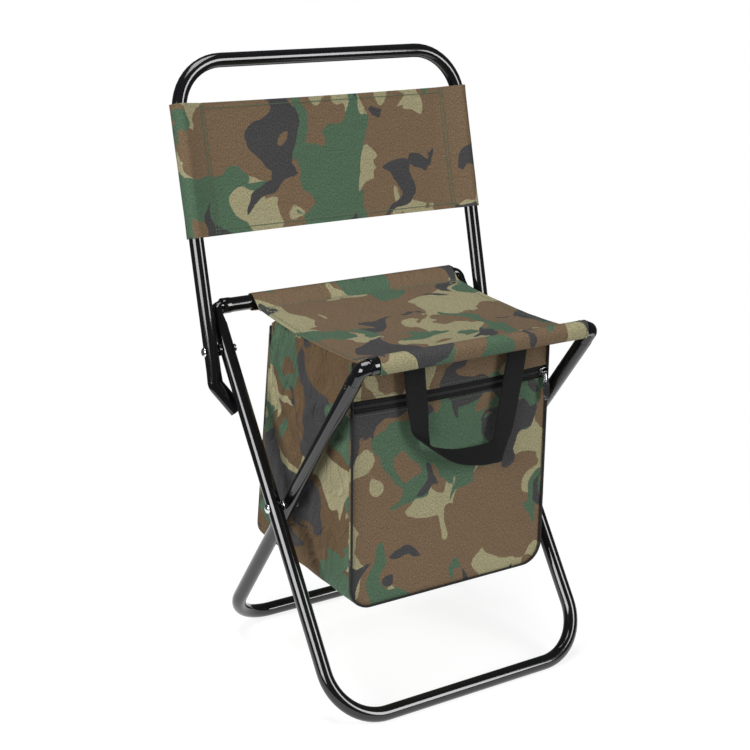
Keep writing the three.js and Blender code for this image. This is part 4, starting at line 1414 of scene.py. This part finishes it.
piping(front_y - 1.8, "front_edge_piping", "bag_face", "front_piping", False)
piping(back_top_y + 1.8, "rear_edge_piping", "frame", "back_piping", True)

# %% [markdown]
# ## The zip
# A coil zip is two tapes whose edges carry a nylon spiral. One turn of the spiral is a small rounded
# block; it is modelled once and repeated every two millimetres, upper and lower turns in step. A
# real spiral would have far more faces and look the same from here. The whole zip sags between its
# ends. The slider sits closed at the right end. Its pull hangs down, and its tab is crowned, so that
# it catches a glint.

# %% Zip tapes
zip_half = bag_half - 3.3


def zip_tape(low, high, name, node):
    def place(a, b):
        x = (2 * a - 1) * zip_half
        y = front_y + 0.5 - 0.4 * math.sin(math.pi * b) + 0.3 * wave(x, b, 31, 50)
        return x, y, low + (high - low) * b - zip_sag(x)

    def flat(a, b):
        return 2 * a * zip_half, (high - low) * b

    tape = cloth(60, 4, place, flat, 1.0)
    face_outwards(tape)
    hand_over(tape, name, "black_zip", zip_cloth, "bag_face", node)
    max(2 * zip_half * mm * (high - low) * mm, 0.0031 * 0.25)


zip_tape(zip_z + 1.5, zip_high, "zip_tape_above", "zip_tape_upper")
zip_tape(zip_low, zip_z - 1.5, "zip_tape_below", "zip_tape_lower")

# %% Coil
coil_pitch, coil_turns = 0.002, 121
nothing_selected()
bpy.ops.mesh.primitive_cube_add(size=1, location=(0, 0, 0))
coil = bpy.context.object
coil.scale = (0.0012, 0.0019, 0.0020)
coil.rotation_euler.y = math.radians(12)
apply_place(coil)
open_piece(coil)
bpy.ops.mesh.bevel(offset=0.00035, segments=2, affect="EDGES")
close_piece()
lower_turn = another(coil)
lower_turn.location = (0.001, 0, -0.0014)
apply_place(lower_turn)
coil = join_pieces([coil, lower_turn])
coil.location = at(-zip_half + 1.0, front_y + 0.15, zip_z + 0.7)
apply_place(coil)
turns = coil.modifiers.new("turns", "ARRAY")
turns.count, turns.use_relative_offset, turns.use_constant_offset = coil_turns, False, True
turns.constant_offset_displace = (coil_pitch, 0, 0)
apply_modifiers(coil)
for vertex in coil.data.vertices:
    vertex.co.z -= zip_sag(vertex.co.x / mm) * mm
smooth(coil, 50)
hand_over(coil, "zip_coil_turns", "black_zip", zip_coil, "bag_face", "zip_chain")

# %% Slider
slider_x, slider_face = 118.0, 40.9 - 1.8
bridge_y = slider_face - 1.9


def block(width, depth, height, place, soft):
    """A block with rounded edges."""
    nothing_selected()
    bpy.ops.mesh.primitive_cube_add(size=1)
    piece = bpy.context.object
    piece.scale = (width * mm, depth * mm, height * mm)
    apply_place(piece)
    open_piece(piece)
    bpy.ops.mesh.bevel(offset=soft * mm, segments=3, affect="EDGES")
    close_piece()
    piece.location = place
    apply_place(piece)
    return piece


plate = block(12, 1.8, 7.0, at(slider_x, slider_face + 0.9, zip_z), 0.55)
shoulder = block(7.5, 1.8, 9.0, at(slider_x + 1.6, slider_face + 0.9, zip_z), 0.7)
bridge = bent_tube(
    [at(slider_x - 3.6, slider_face + 0.6, zip_z), at(slider_x - 3.6, bridge_y, zip_z),
     at(slider_x + 3.6, bridge_y, zip_z), at(slider_x + 3.6, slider_face + 0.6, zip_z)],
    [1.2 * mm] * 2, 0.75 * mm, sides=12, steps=5)
slider = join_pieces([plate, shoulder, bridge])
smooth(slider, 40)
hand_over(slider, "zip_slider_body", "dark_metal", dark_metal, "slider", "zip_slider")

# %% Pull
nothing_selected()
bpy.ops.mesh.primitive_torus_add(location=at(slider_x, bridge_y, zip_z), rotation=(0, math.pi / 2, 0),
                                 major_radius=1.5 * mm, minor_radius=0.5 * mm,
                                 major_segments=24, minor_segments=10)
eye_ring = bpy.context.object
apply_place(eye_ring)
tab = block(8, 1.4, 29, at(slider_x, bridge_y, zip_z - 16), 0.5)
open_piece(tab)
bpy.ops.mesh.subdivide(number_cuts=3)
tab_mesh = bmesh.from_edit_mesh(tab.data)
for vertex in tab_mesh.verts:
    fall = (zip_z * mm - vertex.co.z) / mm
    if vertex.co.y < bridge_y * mm + foot_bar_y * mm:
        vertex.co.y -= 0.8 * mm * (1 - ((vertex.co.x / mm - slider_x) / 4) ** 2)
        vertex.co.y -= 0.9 * mm * (1 - ((fall - 16) / 14.5) ** 2)
    vertex.co.x += (slider_x * mm - vertex.co.x) * (0.42 * bump(fall, 1.5, 7) + 0.3 * bump(fall, 30.5, 2.5))
bmesh.ops.rotate(tab_mesh, verts=tab_mesh.verts, cent=at(slider_x, bridge_y, zip_z),
                 matrix=Matrix.Rotation(math.radians(-8), 3, "X"))
bmesh.update_edit_mesh(tab.data)
close_piece()
pull = join_pieces([tab, eye_ring])
smooth(pull, 40)
hand_over(pull, "zip_pull_tab", "dark_metal", dark_metal, "pull", "zip_pull")

# %% [markdown]
# ## The handle
# The handle is 25 mm webbing. Its sides hang flat against the front, and its bottom turns to lie like
# the handle of a bucket. A strip bent along one curve would tip the wrong way there, so two edge
# lines give the twist, and smooth curves through them carry the ribbon. Its ends are sewn under the
# front of the seat.

# %% Webbing handle
web_width, tab_reach = 25, 9.6
outer_edge = [
    (-69, 31, 376), (-68.4, 31, 362), (-66, 31, 340), (-63.5, 31, 318), (-61.8, 30.5, 302),
    (-58, 29.5, 295), (-46, 26, 284.5), (-30.7, 20.5, 272.3), (-17.9, 18.2, 263.2), (-0.6, 17, 256.1),
    (21.2, 17, 251.9), (38, 18, 250.5), (50, 22, 249.2), (56, 26.5, 253.5), (63.5, 29.5, 265),
    (71, 30.8, 278.4), (75, 31, 300), (79.3, 31, 324), (85.6, 31, 362), (85.5, 31, 376)]
inner_edge = [
    (-44, 31, 376), (-43.7, 31, 362), (-40.8, 31, 337), (-37.5, 31, 312), (-33.4, 31, 284),
    (-32.7, 30.5, 277.7), (-30.7, 30.5, 275.6), (-23.8, 30.5, 273.2), (-14, 30.5, 270),
    (0.1, 30.5, 267.2), (21.9, 30.5, 266.2), (38.3, 30.5, 266.8), (45.3, 30.5, 269), (47, 30.5, 273.6),
    (48.3, 30.5, 282.4), (50.5, 31, 292), (53.2, 31, 308), (57, 31, 330), (61.6, 31, 362), (61, 31, 376)]


def through(points, share):
    """A smooth curve through points (Catmull-Rom)."""
    travel = share * (len(points) - 1)
    index = min(int(travel), len(points) - 2)
    t = travel - index
    p0, p1, p2, p3 = (Vector(points[min(max(index + k, 0), len(points) - 1)]) for k in (-1, 0, 1, 2))
    return 0.5 * ((2 * p1) + (p2 - p0) * t + (2 * p0 - 5 * p1 + 4 * p2 - p3) * t ** 2
                  + (3 * p1 - p0 - 3 * p2 + p3) * t ** 3)


def handle_spot(a, b):
    """A place on the ribbon: its width is kept near the webbing's, and its middle is crowned."""
    left, right = through(outer_edge, b), through(inner_edge, b)
    middle = (left + right) / 2
    half = (right - left) / 2
    half *= min(max(12.4 / half.length, 0.8), 1.12)
    crown = 0.5 * math.cos(math.pi * (a - 0.5))
    return tuple(middle + half * (2 * a - 1) - Vector((0, 0.7, 0.7)) * (crown - 0.3))


strap_line = [(through(outer_edge, k / 60) + through(inner_edge, k / 60)) / 2 for k in range(61)]
strap_length = sum((after - before).length for before, after in zip(strap_line, strap_line[1:]))
print("strap", round(strap_length), "mm long")
strap = cloth(8, 152, handle_spot, lambda a, b: (web_width * a, strap_length * b), 1.4)
face_outwards(strap)
hand_over(strap, "handle_webbing", "black_webbing", black_webbing, "handle", "handle_strap")

# %% Sewn ends of the handle
for side_name, side in (("left", -1), ("right", 1)):
    centre = 8 + side * 64

    def tab_spot(a, b, centre=centre):
        x = centre + web_width * (a - 0.5)
        return x, 32.2 + tab_reach * b, 375.9 + 0.5 * math.sin(math.pi * b)

    sewn = cloth(6, 8, tab_spot, lambda a, b: (web_width * a, tab_reach * b), 1.3)
    face_outwards(sewn)
    hand_over(sewn, f"handle_end_{side_name}_sewn", "black_webbing", black_webbing, "bag_face",
              f"handle_end_{side_name}")

# %% Bag stitches
def front_row(z, y=front_y - 0.15, half=119):
    """A row across the bag's front that follows the zip's sag."""
    return [(x, y, z - zip_sag(x)) for x in (half * (step / 25 - 1) for step in range(51))]


stitches("zip_stitches_above", [front_row(zip_high + 3.0)], green_thread, "camo_cloth", "bag_face",
         header, (0, -1, 0))
stitches("zip_stitches_below", [front_row(zip_low - 3.0)], green_thread, "camo_cloth", "bag_face",
         bag_front, (0, -1, 0))
sleeve_end_x = 126.5
sleeve_ring = [(sleeve_end_x, inner_rail[0] + 9.9 * math.cos(turn), inner_rail[1] + 9.9 * math.sin(turn))
               for turn in [math.radians(60 + 9 * step) for step in range(26)]]
stitches("sleeve_end_stitches", [sleeve_ring], green_thread, "camo_cloth", "inner_frame", seat, None)

# %% [markdown]
# ## The floor
# A plain pale floor takes faint shadows under the feet. A large plane would show its edge against
# the white room, so it is a disc that ends before the picture does, and it glows a little, so that
# away from the stool it is as white as the room.

# %% Floor
nothing_selected()
bpy.ops.mesh.primitive_circle_add(vertices=96, radius=0.62, fill_type="NGON", location=(0, 0, -0.0004))
floor = bpy.context.object
floor.name = "floor"
floor_paint = Finish("floor_paint", specular_ior_level=0.1, emission_color=(1, 1, 1, 1),
                     emission_strength=0.78)
floor_grain = floor_paint.grain(floor_paint.place(), 3, 2)
floor_paint.drive(base_color=floor_paint.mix(floor_grain, (0.32, 0.32, 0.32, 1), (0.34, 0.34, 0.34, 1)),
                  roughness=floor_paint.spread(floor_grain, 0.8, 0.9))
floor.data.materials.append(floor_paint.material)
print("floor", round(floor.dimensions.x, 2), "m across")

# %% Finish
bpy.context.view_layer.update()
nothing_selected()
